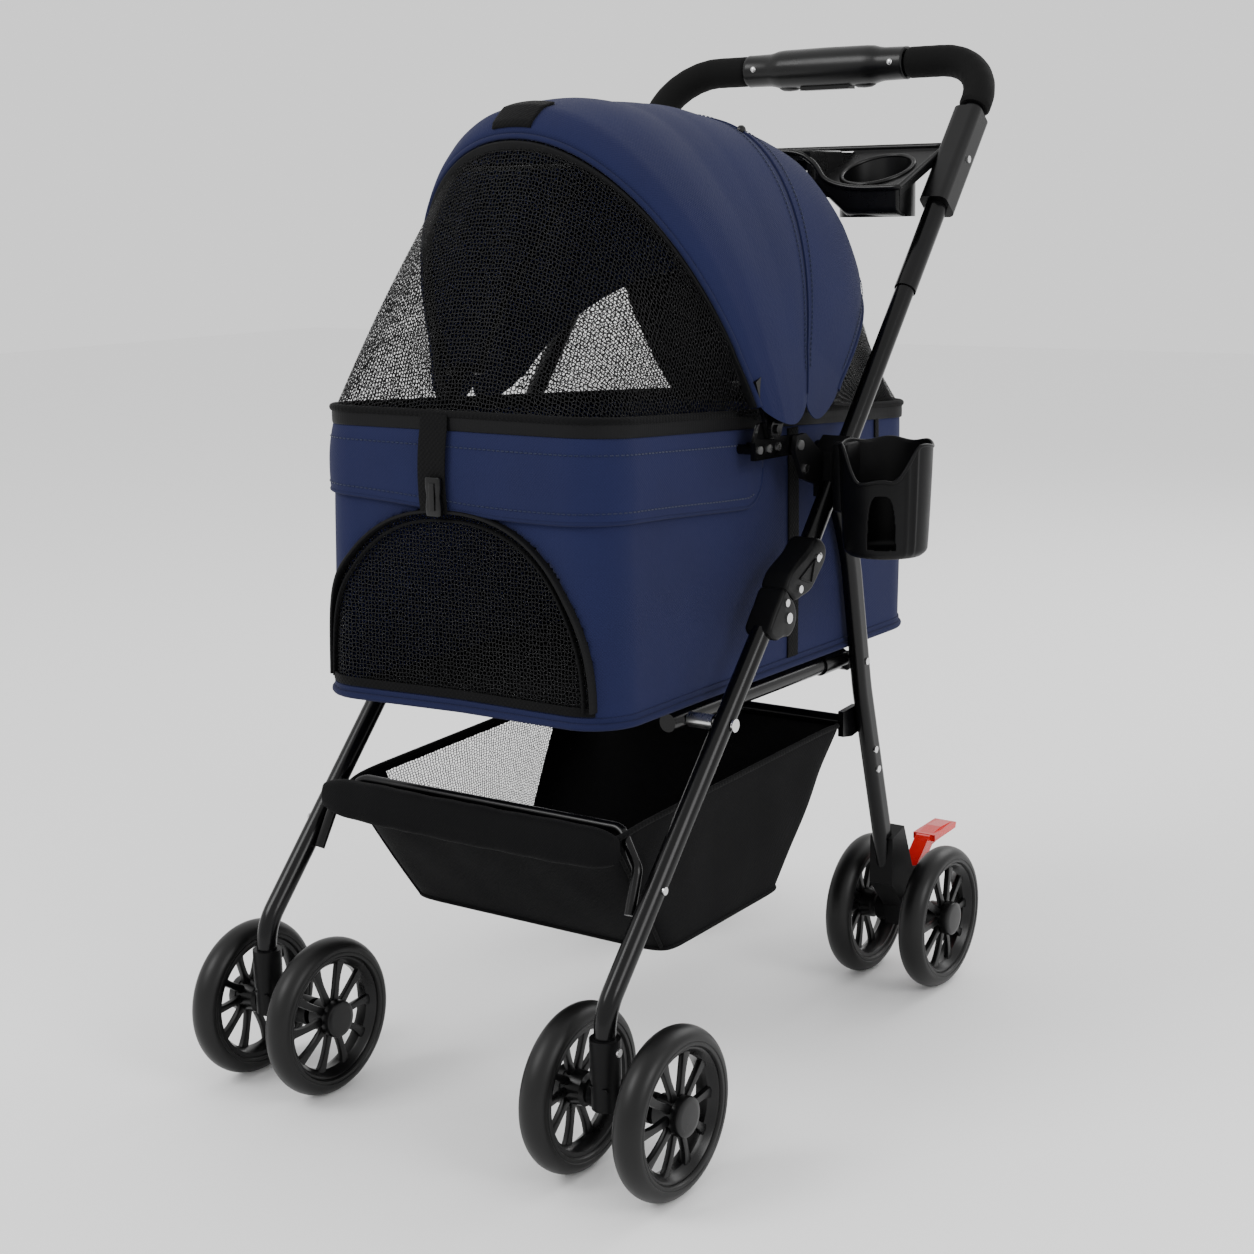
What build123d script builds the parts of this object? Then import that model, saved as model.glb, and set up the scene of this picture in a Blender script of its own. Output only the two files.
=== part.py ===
from build123d import *
import math
import os

# Folding four-station pet stroller with twin wheels, a soft cabin and a folding canopy.
# Millimetres, +Z up, the front of the stroller faces -Y, the rider's left side is +X.
# Sections are laid out from the front wheel axle line (y = 0) and moved to the origin on export.

# ---- wheels and axles ----
WHEEL_R = 75.0
TYRE_WIDTH = 28.0
TYRE_IN_R = 58.0
RIM_IN_R = 51.0
RIM_WIDTH = 22.0
HUB_R = 15.0
HUB_WIDTH = 26.0
SPOKES = 10
AXLE_R = 4.0
RUNNING_GAP = 0.05
AXLE_NUT_R = 6.5
FRONT_HALF_TRACK = 195.0
FRONT_TWIN = 48.0
REAR_TWIN = 43.0
REAR_AXLE_Y = 556.0

# ---- tubes ----
TUBE_R = 9.5
TUBE_WALL = 1.3
GRIP_TUBE_R = 11.0
FOAM_R = 16.0
LEG_X = 195.0
REAR_LEG_X = 170.0
REAR_LEG_THICK = 16.0
REAR_LEG_DEEP = 23.0
BAR_X = 150.0
BAR_R = 8.5
STEM_Y = -26.6
STEM_TOP = 104.0

# ---- fold pivots, as (y, z) ----
FOLD_PIVOT = (250.0, 450.0)
LEG_PIVOT = (385.0, 583.0)
BAR_PIVOT = (162.0, 368.5)
BAR_REAR = (453.0, 366.0)
RIM_PIVOT = (302.0, 601.0)
CANOPY_PIVOT = (257.0, 620.0)
BRAKE_PIVOT = (566.0, 112.0)
PIN_R = 4.0

# ---- handle line in side view ----
HANDLE_LOW = (320.0, 520.0)
HANDLE_TOP = (687.0, 961.0)
GRIP_TUBE_START_Z = 733.0
GRIP_BEND_R = 58.0

# ---- cabin ----
CABIN_HALF_W = 158.0
CABIN_FRONT = 38.0
CABIN_REAR = 603.0
CABIN_FLOOR_Z = 380.0
RIM_FRONT_Z = 646.0
RIM_REAR_Z = 614.0
FABRIC = 3.0
FRONT_CORNER_R = 42.0
REAR_CORNER_R = 58.0

# ---- canopy ----
CANOPY_HALF_W = 181.0
CANOPY_HEIGHT = 288.0
FRONT_RIB_LEAN = 26.6
REAR_RIB_LEAN = -30.0
FRONT_RIB_REACH = 281.0
REAR_RIB_REACH = 314.0
CANOPY_REAR = [(400, 909), (458, 902), (482, 868), (508, 800), (543, 736), (570, 690), (594, 640), (603, 610)]
RIB_R = 2.6

# ---- basket ----
BASKET_SIDE = [(77.0, 283.0), (437.0, 299.0), (337.0, 161.0), (131.0, 157.0)]
BASKET_TOP_HALF_W = 162.0
BASKET_LOW_HALF_W = 150.0

# ---- overall origin: middle of the bounding box, on the ground ----
ORIGIN_X = 21.75
ORIGIN_Y = 315.75

PARTS = {}


def keep(name, shape):
    """Stores a finished piece under its node name."""
    PARTS[name] = shape


def both(name, shape):
    """Stores a left piece and its mirror image on the right."""
    keep(name + "_left", shape)
    keep(name + "_right", mirror(shape, about=Plane.YZ))


def pair(name, shape):
    """Stores a piece and its mirror image as two solids of one node."""
    keep(name, Compound([*shape.solids(), *mirror(shape, about=Plane.YZ).solids()]))


def handle_y(z):
    """Side-view line of the handle tubes."""
    slope = (HANDLE_TOP[0] - HANDLE_LOW[0]) / (HANDLE_TOP[1] - HANDLE_LOW[1])
    return HANDLE_LOW[0] + slope * (z - HANDLE_LOW[1])


def front_leg_y(z):
    """Side-view line of the straight part of the front legs."""
    return 7.8 + math.tan(math.radians(42.15)) * (z - 200.0)


def rod(radius, x0, x1, at):
    """Solid cylinder along X between two x values, at (y, z)."""
    plane = Plane(origin=(x0, at[0], at[1]), x_dir=(0, 1, 0), z_dir=(1, 0, 0))
    return extrude(plane * Circle(radius), x1 - x0)


def side_plate(points, x0, x1):
    """Plate with a polygon outline in side view, between two x values."""
    plane = Plane(origin=(x0, 0, 0), x_dir=(0, 1, 0), z_dir=(1, 0, 0))
    return extrude(plane * Polygon(*points, align=None), x1 - x0, dir=(1, 0, 0))


def solid_along(path, radius):
    """Round bar that follows a path."""
    start = Plane(origin=path @ 0, z_dir=path % 0)
    return sweep(start * Circle(radius), path=path)


def hollow_along(path, radius, inner):
    """Round tube that follows a path."""
    start = Plane(origin=path @ 0, z_dir=path % 0)
    outer = sweep(start * Circle(radius), path=path)
    return outer - sweep(start * Circle(inner), path=path)


def straight_tube(x, low, high, radius, inner):
    """Straight tube between two (y, z) points at one x."""
    path = Line((x, *low), (x, *high))
    return hollow_along(path, radius, inner)


# ---- wheels ----
def tyre(x):
    """Rounded tyre centred at x on the X axis."""
    half = TYRE_WIDTH / 2
    shoulder = 9.0
    plane = Plane(origin=(x, 0, 0), x_dir=(1, 0, 0), z_dir=(0, 0, 1))
    with BuildSketch(Plane.XY) as section:
        with BuildLine():
            Polyline((-half + 2, TYRE_IN_R), (-half, TYRE_IN_R + 3), (-half, WHEEL_R - shoulder))
            ThreePointArc((-half, WHEEL_R - shoulder), (0, WHEEL_R), (half, WHEEL_R - shoulder))
            Polyline((half, WHEEL_R - shoulder), (half, TYRE_IN_R + 3), (half - 2, TYRE_IN_R))
            Line((half - 2, TYRE_IN_R), (-half + 2, TYRE_IN_R))
        make_face()
    return revolve(plane.location * section.sketch, axis=Axis((x, 0, 0), (1, 0, 0)))


def rim(x, outward):
    """Spoked rim with hub, centred at x on the X axis, its dished face outward."""
    ring = rod(TYRE_IN_R, x - RIM_WIDTH / 2, x + RIM_WIDTH / 2, (0, 0))
    ring -= rod(RIM_IN_R, x - RIM_WIDTH, x + RIM_WIDTH, (0, 0))
    body = ring + rod(HUB_R, x - HUB_WIDTH / 2, x + HUB_WIDTH / 2, (0, 0))
    spoke = Box(7, 4, RIM_IN_R - HUB_R + 4, align=(Align.CENTER, Align.CENTER, Align.MIN))
    for k in range(SPOKES):
        arm = Pos(x + outward * 3.0, 0, 0) * Rot(360 / SPOKES * k, 0, 0) * Pos(0, 0, HUB_R - 2) * spoke
        body += arm
    return body - rod(AXLE_R + RUNNING_GAP, x - HUB_WIDTH, x + HUB_WIDTH, (0, 0))


def twin_wheels(station, x_mid, twin, y):
    """Two wheels each side of a leg, each a tyre and a rim."""
    for place, x in (("outer", x_mid + twin), ("inner", x_mid - twin)):
        outward = 1 if place == "outer" else -1
        moved = Pos(0, y, WHEEL_R)
        both(f"{station}_{place}_tyre", moved * tyre(x))
        both(f"{station}_{place}_rim", moved * rim(x, outward))


def axle(x_mid, twin, y):
    """Axle bolt through a pair of wheels, with a nut at each end."""
    reach = twin + HUB_WIDTH / 2
    bolt = rod(AXLE_R, x_mid - reach - 4.5, x_mid + reach + 4.5, (y, WHEEL_R))
    for side in (-1, 1):
        inner = x_mid + side * (reach + 0.5)
        nut = rod(AXLE_NUT_R, min(inner, inner + side * 4), max(inner, inner + side * 4), (y, WHEEL_R))
        bolt += nut
    return bolt


# ---- front casters ----
def caster_fork():
    """Swivel body under a front leg, with its axle boss."""
    x = FRONT_HALF_TRACK
    plane = Plane(origin=(x, STEM_Y, 78), z_dir=(0, 0, 1))
    stem = extrude(plane * Circle(12.5), STEM_TOP - 78)
    boss = rod(13.5, x - 31, x + 31, (0, WHEEL_R))
    web = side_plate([(STEM_Y - 12, 100), (STEM_Y + 11, 103), (11, 84), (9, 64), (-12, 64)], x - 9, x + 9)
    body = stem + boss + web
    return body - rod(AXLE_R + RUNNING_GAP, x - 40, x + 40, (0, WHEEL_R))


def caster_socket():
    """Plastic socket that closes the bottom of a front leg and holds the swivel stem."""
    plane = Plane(origin=(LEG_X, STEM_Y, STEM_TOP + 0.4), z_dir=(0, 0, 1))
    body = extrude(plane * Circle(13.5), 36)
    hole = Plane(origin=(LEG_X, STEM_Y, 119.5), z_dir=(0, 0, 1))
    return body - extrude(hole * Circle(TUBE_R + 0.05), 60)


# ---- front frame ----
def front_leg():
    """Front leg tube: straight and raked, with a bend to upright above the caster."""
    top_z = 441.0
    bend_z = 162.0
    path = FilletPolyline(
        (LEG_X, front_leg_y(top_z), top_z),
        (LEG_X, STEM_Y, bend_z),
        (LEG_X, STEM_Y, 120.0),
        radius=50,
    )
    tube = hollow_along(path, TUBE_R, TUBE_R - TUBE_WALL)
    return tube - rod(PIN_R + RUNNING_GAP, LEG_X - 20, LEG_X + 20, BAR_PIVOT)


def lock_frame(s, t):
    """Point s along the handle tubes and t behind the fold pivot, as (y, z)."""
    dy = HANDLE_TOP[0] - HANDLE_LOW[0]
    dz = HANDLE_TOP[1] - HANDLE_LOW[1]
    length = math.hypot(dy, dz)
    uy, uz = dy / length, dz / length
    return (FOLD_PIVOT[0] + s * uy + t * uz, FOLD_PIVOT[1] + s * uz - t * uy)


LOCK_X0 = 181.0
LOCK_X1 = 209.0
TONGUE_X0 = 191.0
TONGUE_X1 = 199.0
PARTING = 18.0
FOLD_TRAVEL = 120.0


def tongue_room():
    """Space that the upper half's tongue sweeps inside the lower half."""
    x0, x1 = TONGUE_X0 - 0.6, TONGUE_X1 + 0.6
    room = rod(13.2, x0, x1, FOLD_PIVOT)
    reach = 40.0
    fan = [lock_frame(0, 0)]
    for k in range(0, 15):
        a = math.radians(FOLD_TRAVEL * k / 14)
        fan.append(lock_frame(reach * math.cos(a), reach * math.sin(a)))
    room += side_plate(fan, x0, x1)
    for a in (0.0, FOLD_TRAVEL):
        c, s = math.cos(math.radians(a)), math.sin(math.radians(a))
        corners = [(0, -8.6), (reach, -8.6), (reach, 8.6), (0, 8.6)]
        turned = [lock_frame(p * c - q * s, p * s + q * c) for p, q in corners]
        room += side_plate(turned, x0, x1)
    return room


def fold_lock_lower():
    """Lower half of the clamshell fold joint, fixed to the front leg."""
    outline = [(-34, -21), (PARTING, -21), (PARTING, 0), (-20, 5), (-34, -2)]
    body = side_plate([lock_frame(s, t) for s, t in outline], LOCK_X0, LOCK_X1)
    body += rod(16.5, LOCK_X0, LOCK_X1, FOLD_PIVOT)
    body -= tongue_room()
    leg_hole = Line((LEG_X, front_leg_y(441.2), 441.2), (LEG_X, front_leg_y(380), 380))
    body -= solid_along(leg_hole, TUBE_R + 0.05)
    return body - rod(PIN_R, LOCK_X0 - 5, LOCK_X1 + 5, FOLD_PIVOT)


def fold_lock_upper():
    """Upper half of the clamshell fold joint, with the tongue that turns on the pivot."""
    outline = [(PARTING + 0.5, -21), (PARTING + 0.5, 0), (45, 21), (84, 23), (84, -2), (52, -10)]
    body = side_plate([lock_frame(s, t) for s, t in outline], LOCK_X0, LOCK_X1)
    tongue = [(0, -8), (24, -8), (24, 8), (0, 8)]
    body += side_plate([lock_frame(s, t) for s, t in tongue], TONGUE_X0, TONGUE_X1)
    body += rod(12.5, TONGUE_X0, TONGUE_X1, FOLD_PIVOT)
    low_z = 494.0
    hole = Line((LEG_X, handle_y(low_z - 0.3), low_z - 0.3), (LEG_X, handle_y(580), 580))
    body -= solid_along(hole, TUBE_R + 0.05)
    return body - rod(PIN_R + RUNNING_GAP, LOCK_X0 - 5, LOCK_X1 + 5, FOLD_PIVOT)


def fold_pin():
    """Steel pin through the fold joint, with a head at each side."""
    pin = rod(PIN_R, LOCK_X0 - 1.5, LOCK_X1 + 1.5, FOLD_PIVOT)
    for x in (LOCK_X0 - 1.5, LOCK_X1):
        pin += rod(5.0, x, x + 1.5, FOLD_PIVOT)
    return pin


def bar_pin():
    """Steel pin from a front leg inwards through the end of a side bar."""
    pin = rod(PIN_R, BAR_X - BAR_R - 2.0, LEG_X + TUBE_R + 2.0, BAR_PIVOT)
    head = rod(6.0, LEG_X + TUBE_R + 0.6, LEG_X + TUBE_R + 2.6, BAR_PIVOT)
    spacer = rod(7.0, BAR_X + BAR_R + 0.5, LEG_X - TUBE_R - 0.4, BAR_PIVOT)
    return pin + head + spacer


def rivet(x0, x1, at, r=3.6):
    """Rivet head between two x values."""
    return rod(r, x0, x1, at)


def group(shapes):
    """Several separate solids as one node."""
    return Compound([s for shape in shapes for s in shape.solids()])


def mirrored(shapes):
    """The shapes and their mirror images."""
    return shapes + [mirror(s, about=Plane.YZ) for s in shapes]


def basket_hoop():
    """Bent rod that carries the front edge of the basket between the front legs."""
    half = [(179.6, 34, 226), (176, 52, 262), (150, 66, 290)]
    points = half + [(-x, y, z) for x, y, z in reversed(half)]
    return solid_along(FilletPolyline(*points, radius=16), 5.0)


def basket():
    """Open storage basket under the cabin."""
    def hull(inset, top_extra):
        (fy, fz), (ry, rz), (by, bz), (ay, az) = BASKET_SIDE
        side = [
            (fy + inset, fz + top_extra),
            (ry - inset, rz + top_extra),
            (by - inset, bz + inset),
            (ay + inset, az + inset),
        ]
        block = side_plate(side, -BASKET_TOP_HALF_W, BASKET_TOP_HALF_W)
        wide = BASKET_TOP_HALF_W - inset
        low = BASKET_LOW_HALF_W - inset
        plane = Plane(origin=(0, 0, 0), x_dir=(1, 0, 0), z_dir=(0, -1, 0))
        front = Polygon((-wide, 330), (wide, 330), (low, 150), (-low, 150), align=None)
        return block & extrude(plane * front, 600, both=True)

    return hull(0, 0) - hull(FABRIC, 8)


# ---- side bars ----
def side_bar():
    """Bar under the cabin, from the front leg back to the rear leg."""
    y0, y1 = 139.0, 452.0
    y_sleeve = 408.0
    z = BAR_PIVOT[1]
    bar = solid_along(Line((BAR_X, y0, z), (BAR_X, y1, z)), BAR_R)
    bar += solid_along(Line((BAR_X, y_sleeve, z), (BAR_X, y1, z)), BAR_R + 2.0)
    bar += rod(10.0, BAR_X - BAR_R, BAR_X + BAR_R, BAR_REAR)
    return bar - rod(PIN_R + RUNNING_GAP, BAR_X - 30, BAR_X + 30, BAR_PIVOT)


# ---- rear frame ----
def rear_leg():
    """Flat oval rear leg, bent twice, with the hole for its top pivot."""
    path = FilletPolyline(
        (REAR_LEG_X, LEG_PIVOT[0], LEG_PIVOT[1] + 8),
        (REAR_LEG_X, 434, 485),
        (REAR_LEG_X, 461, 338),
        (REAR_LEG_X, 520, 126),
        radius=260,
    )
    start = Plane(origin=path @ 0, x_dir=(1, 0, 0), z_dir=path % 0)
    outline = RectangleRounded(REAR_LEG_THICK, REAR_LEG_DEEP, 7.4)
    leg = sweep(start * outline, path=path)
    leg += rod(13.0, REAR_LEG_X - 8, REAR_LEG_X + 8, LEG_PIVOT)
    return leg - rod(PIN_R + RUNNING_GAP, REAR_LEG_X - 20, REAR_LEG_X + 20, LEG_PIVOT)


def rear_axle_housing():
    """Plastic block that joins a rear leg to its axle and carries the brake pedal."""
    x = REAR_LEG_X
    outline = [(506, 168), (532, 176), (552, 126), (574, 120), (574, 62), (540, 62), (536, 84), (505, 118)]
    body = side_plate(outline, x - 13, x + 13)
    body += rod(15.0, x - 26, x + 26, (REAR_AXLE_Y, WHEEL_R))
    hole = Line((x, 508.9, 166), (x, 520, 126))
    start = Plane(origin=(x, 497.7, 206.2), x_dir=(1, 0, 0), z_dir=hole % 0)
    body -= extrude(start * RectangleRounded(REAR_LEG_THICK + 0.2, REAR_LEG_DEEP + 0.4, 7.5), 83.4)
    body -= rod(AXLE_R + RUNNING_GAP, x - 40, x + 40, (REAR_AXLE_Y, WHEEL_R))
    body -= Pos(x, 580, 124) * Box(17.0, 50, 52)
    return body - rod(2.5, x - 20, x + 20, BRAKE_PIVOT)


def brake_pedal():
    """Red foot pedal on a cross pin in the rear axle housing."""
    x = REAR_LEG_X
    y, z = BRAKE_PIVOT
    outline = [(y + 1, z - 4), (y + 9, z - 6), (y + 42, z + 22), (y + 88, z + 30),
               (y + 90, z + 36), (y + 62, z + 37), (y + 34, z + 33), (y + 2, z + 5)]
    body = side_plate(outline, x - 8, x + 8)
    body += side_plate([(y + 38, z + 27), (y + 88, z + 30), (y + 90, z + 36), (y + 38, z + 34)], x - 13, x + 13)
    body += rod(6.0, x - 8, x + 8, BRAKE_PIVOT)
    return body - rod(2.5 + RUNNING_GAP, x - 20, x + 20, BRAKE_PIVOT)


def rear_crossbar():
    """Tube between the rear legs that carries the back edge of the basket."""
    y, z = 447.0, 304.0
    reach = REAR_LEG_X - REAR_LEG_THICK / 2 - 0.4
    bar = rod(7.0, -reach, reach, (y, z))
    plate = side_plate([(y - 9, z - 14), (y + 9, z - 17), (y + 28, z - 14), (y + 20, z + 14), (y - 9, z + 12)],
                       reach - 6, reach)
    return bar + plate + mirror(plate, about=Plane.YZ)


# ---- handle frame ----
def lower_handle_tube():
    """Straight tube from the fold joint up into the grip tube."""
    low_z, high_z = 494.0, 800.0
    return straight_tube(
        LEG_X, (handle_y(low_z), low_z), (handle_y(high_z), high_z), TUBE_R, TUBE_R - TUBE_WALL
    )


def grip_tube():
    """Wider U-shaped tube: both upper legs and the push bar in one."""
    start_z = GRIP_TUBE_START_Z
    path = FilletPolyline(
        (LEG_X, handle_y(start_z), start_z),
        (LEG_X, *HANDLE_TOP),
        (-LEG_X, *HANDLE_TOP),
        (-LEG_X, handle_y(start_z), start_z),
        radius=GRIP_BEND_R,
    )
    return hollow_along(path, GRIP_TUBE_R, TUBE_R + 0.1)


HOUSING_HALF = 96.0


def foam_grip():
    """Foam sleeve over one corner of the push bar."""
    end_z = 909.0
    path = FilletPolyline(
        (HOUSING_HALF + 2.0, *HANDLE_TOP),
        (LEG_X, *HANDLE_TOP),
        (LEG_X, handle_y(end_z), end_z),
        radius=GRIP_BEND_R,
    )
    return hollow_along(path, FOAM_R, GRIP_TUBE_R + 0.1)


TRIGGER_HALF = 30.0


def fold_housing():
    """Plastic housing of the one-hand fold release, in the middle of the push bar."""
    y, z = HANDLE_TOP
    body = rod(17.0, -HOUSING_HALF, HOUSING_HALF, (y, z)) + rod(19.5, -58, 58, (y, z))
    body -= rod(GRIP_TUBE_R + 0.1, -HOUSING_HALF - 5, HOUSING_HALF + 5, (y, z))
    room = Box(2 * TRIGGER_HALF + 1.0, 15.0, 16.0, align=(Align.CENTER, Align.CENTER, Align.MAX))
    return body - Pos(0, y, z - GRIP_TUBE_R - 0.1 + 1.5) * room


def fold_trigger():
    """Push-up trigger under the push bar that frees both fold joints."""
    y, z = HANDLE_TOP
    top = z - GRIP_TUBE_R - 3.6
    block = Box(2 * TRIGGER_HALF, 14.0, 9.0, align=(Align.CENTER, Align.CENTER, Align.MAX))
    return Pos(0, y, top) * block


TRAY_Z = 868.0
TRAY_FRONT = 508.0
TRAY_REAR = 612.0
TRAY_LOW = 803.0
MIDDLE_HALF = 82.0
WING_FRONT = 509.0
WING_DROP = 41.0
CUP_X = 134.0
CUP_Y = 553.0
CUP_R = 34.0
CUP_FLOOR = 806.0


def wing_top(y):
    """Height of the tray's outer parts, which slope down to the front."""
    return TRAY_Z + 4 - WING_DROP * (TRAY_REAR - y) / (TRAY_REAR - WING_FRONT)


def parent_tray():
    """Tray between the grip tubes: level middle dish, sloping sides with drink wells, a sleeve on each tube."""
    body = Pos(0, (TRAY_FRONT + TRAY_REAR) / 2, TRAY_Z - 8) * extrude(
        Rectangle(2 * MIDDLE_HALF, TRAY_REAR - TRAY_FRONT), 8)
    body += Pos(0, 564, TRAY_Z - 18) * extrude(RectangleRounded(150, 76, 12), 18)
    body -= Pos(0, 564, TRAY_Z - 14) * extrude(RectangleRounded(142, 68, 9), 20)
    front, rear = wing_top(WING_FRONT), wing_top(TRAY_REAR)
    slope = [(WING_FRONT, front - 8), (WING_FRONT, front), (TRAY_REAR, rear), (TRAY_REAR, rear - 8)]
    under = [(WING_FRONT - 30, TRAY_LOW), (WING_FRONT - 30, wing_top(WING_FRONT - 30)),
             (TRAY_REAR + 30, wing_top(TRAY_REAR + 30)), (TRAY_REAR + 30, TRAY_LOW)]
    step = [(WING_FRONT, TRAY_Z), (TRAY_REAR, TRAY_Z), (TRAY_REAR, rear - 8),
            (WING_FRONT, front - 8), (WING_FRONT, front)]
    sleeve_low, sleeve_high = 812.0, 902.0
    for side in (-1, 1):
        inner, outer = sorted((side * (MIDDLE_HALF - 4), side * 182.0))
        body += side_plate(slope, inner, outer)
        inner, outer = sorted((side * (MIDDLE_HALF - 4), side * MIDDLE_HALF))
        body += side_plate(step, inner, outer)
        well = Pos(side * CUP_X, CUP_Y, TRAY_LOW) * extrude(Circle(CUP_R + 4), 100)
        body += well & side_plate(under, side * CUP_X - 50, side * CUP_X + 50)
        x = side * LEG_X
        path = Line((x, handle_y(sleeve_low), sleeve_low), (x, handle_y(sleeve_high), sleeve_high))
        start = Plane(origin=path @ 0, x_dir=(1, 0, 0), z_dir=path % 0)
        body += sweep(start * RectangleRounded(30, 33, 8), path=path)
    for side in (-1, 1):
        x = side * LEG_X
        path = Line((x, handle_y(780), 780), (x, handle_y(930), 930))
        body -= solid_along(path, GRIP_TUBE_R + 0.1)
        body -= Pos(side * CUP_X, CUP_Y, CUP_FLOOR) * extrude(Circle(CUP_R), 100)
    return body


# ---- frame bracket and cup holder ----
BRACKET_X0 = 180.5
BRACKET_X1 = 209.5


def frame_bracket():
    """Plastic bracket round the handle tube: rear leg pivot behind, rim arm in front."""
    ty = handle_y(575)
    outline = [(ty - 22, 548), (ty - 22, 590), (ty - 4, 604), (LEG_PIVOT[0] + 6, LEG_PIVOT[1] + 13),
               (LEG_PIVOT[0] + 13, LEG_PIVOT[1] - 4), (ty + 14, 548)]
    body = side_plate(outline, BRACKET_X0, BRACKET_X1)
    y, z = RIM_PIVOT
    arm = [(y - 6, z + 9), (y + 10, z + 10), (y + 44, z - 14), (y + 44, z - 44), (y + 6, z - 32), (y - 10, z - 4)]
    body += side_plate(arm, 186.0, 191.0)
    tube = Line((LEG_X, handle_y(530), 530), (LEG_X, handle_y(620), 620))
    body -= solid_along(tube, TUBE_R + 0.05)
    body += rod(PIN_R, REAR_LEG_X - 10, BRACKET_X0 + 1, LEG_PIVOT)
    body += rod(PIN_R, 176.5, 187.0, RIM_PIVOT)
    return body


CUP_HOLDER_X = 259.0
CUP_HOLDER_Y = 340.0
CUP_HOLDER_R = 45.0
CUP_HOLDER_LOW = 500.0
CUP_HOLDER_HIGH = 603.0


def cup_holder():
    """Open cup holder clipped to the left frame bracket."""
    height = CUP_HOLDER_HIGH - CUP_HOLDER_LOW
    base = Pos(CUP_HOLDER_X, CUP_HOLDER_Y, CUP_HOLDER_LOW)
    body = base * extrude(Circle(CUP_HOLDER_R), height)
    neck = Box(30, 44, 66, align=(Align.CENTER, Align.CENTER, Align.MIN))
    body += Pos(BRACKET_X1 + 0.3 + 15, CUP_HOLDER_Y + 8, CUP_HOLDER_LOW + 36) * neck
    body -= base * Pos(0, 0, 3) * extrude(Circle(CUP_HOLDER_R - 3), height)
    window = Box(30, 200, 56, align=(Align.CENTER, Align.CENTER, Align.MIN))
    body -= Pos(CUP_HOLDER_X + 12, CUP_HOLDER_Y, CUP_HOLDER_LOW + 9) * Rot(0, 0, 35) * window
    scoop = Plane(origin=(CUP_HOLDER_X + 12, CUP_HOLDER_Y - 60, CUP_HOLDER_HIGH + 12), z_dir=(0, 1, 0))
    return body - extrude(scoop * Circle(30), 40)


# ---- cabin ----
def rim_z(y):
    """Height of the cabin rim along its length."""
    run = (y - CABIN_FRONT) / (CABIN_REAR - CABIN_FRONT)
    return RIM_FRONT_Z + (RIM_REAR_Z - RIM_FRONT_Z) * run


def cabin_plan(inset):
    """Plan outline of the cabin, pulled in by an inset."""
    w = CABIN_HALF_W - inset
    y0, y1 = CABIN_FRONT + inset, CABIN_REAR - inset
    rf, rr = FRONT_CORNER_R - inset, REAR_CORNER_R - inset
    c = math.sqrt(0.5)
    with BuildSketch(Plane.XY) as plan:
        with BuildLine():
            Line((-w + rf, y0), (w - rf, y0))
            ThreePointArc((w - rf, y0), (w - rf + rf * c, y0 + rf - rf * c), (w, y0 + rf))
            Line((w, y0 + rf), (w, y1 - rr))
            ThreePointArc((w, y1 - rr), (w - rr + rr * c, y1 - rr + rr * c), (w - rr, y1))
            Line((w - rr, y1), (-w + rr, y1))
            ThreePointArc((-w + rr, y1), (-w + rr - rr * c, y1 - rr + rr * c), (-w, y1 - rr))
            Line((-w, y1 - rr), (-w, y0 + rf))
            ThreePointArc((-w, y0 + rf), (-w + rf - rf * c, y0 + rf - rf * c), (-w + rf, y0))
        make_face()
    return plan.sketch


def above_rim(gap):
    """Everything above the sloping rim plane, raised by a gap."""
    y0, y1 = CABIN_FRONT - 60, CABIN_REAR + 60
    return side_plate([(y0, rim_z(y0) + gap), (y1, rim_z(y1) + gap), (y1, 1000), (y0, 1000)], -260, 260)


def cabin():
    """Soft cabin: closed walls and floor, open top."""
    outer = Pos(0, 0, CABIN_FLOOR_Z) * extrude(cabin_plan(0), 300)
    inner = Pos(0, 0, CABIN_FLOOR_Z + FABRIC) * extrude(cabin_plan(FABRIC), 300)
    return outer - inner - above_rim(0)


def rim_frame():
    """Steel rod that stiffens the top edge of the cabin, just inside its wall."""
    inset = FABRIC + 0.4
    outer = extrude(cabin_plan(inset), 700)
    inner = extrude(cabin_plan(inset + 6.0), 700)
    return (outer - inner) & (above_rim(-9.0) - above_rim(-3.0))


def base_board():
    """Stiff board on the cabin floor."""
    return Pos(0, 0, CABIN_FLOOR_Z + FABRIC + 0.4) * extrude(cabin_plan(FABRIC + 5.0), 4.0)


def arch_points(half_w, height, power, steps):
    """Half of a superellipse arch, from its foot to its top, as (across, up)."""
    found = []
    for k in range(steps + 1):
        a = math.pi / 2 * k / steps
        found.append((half_w * math.cos(a) ** (2 / power), height * math.sin(a) ** (2 / power)))
    return found


def arch_outline(half_w, height, power, middle, foot):
    """Closed arch outline about a middle line, standing on a foot height."""
    half = arch_points(half_w, height, power, 8)
    right = [(middle + a, foot + b) for a, b in half]
    left = [(middle - a, foot + b) for a, b in reversed(half[:-1])]
    return [(middle + half_w, foot - 40), *right, *left, (middle - half_w, foot - 40)]


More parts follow.
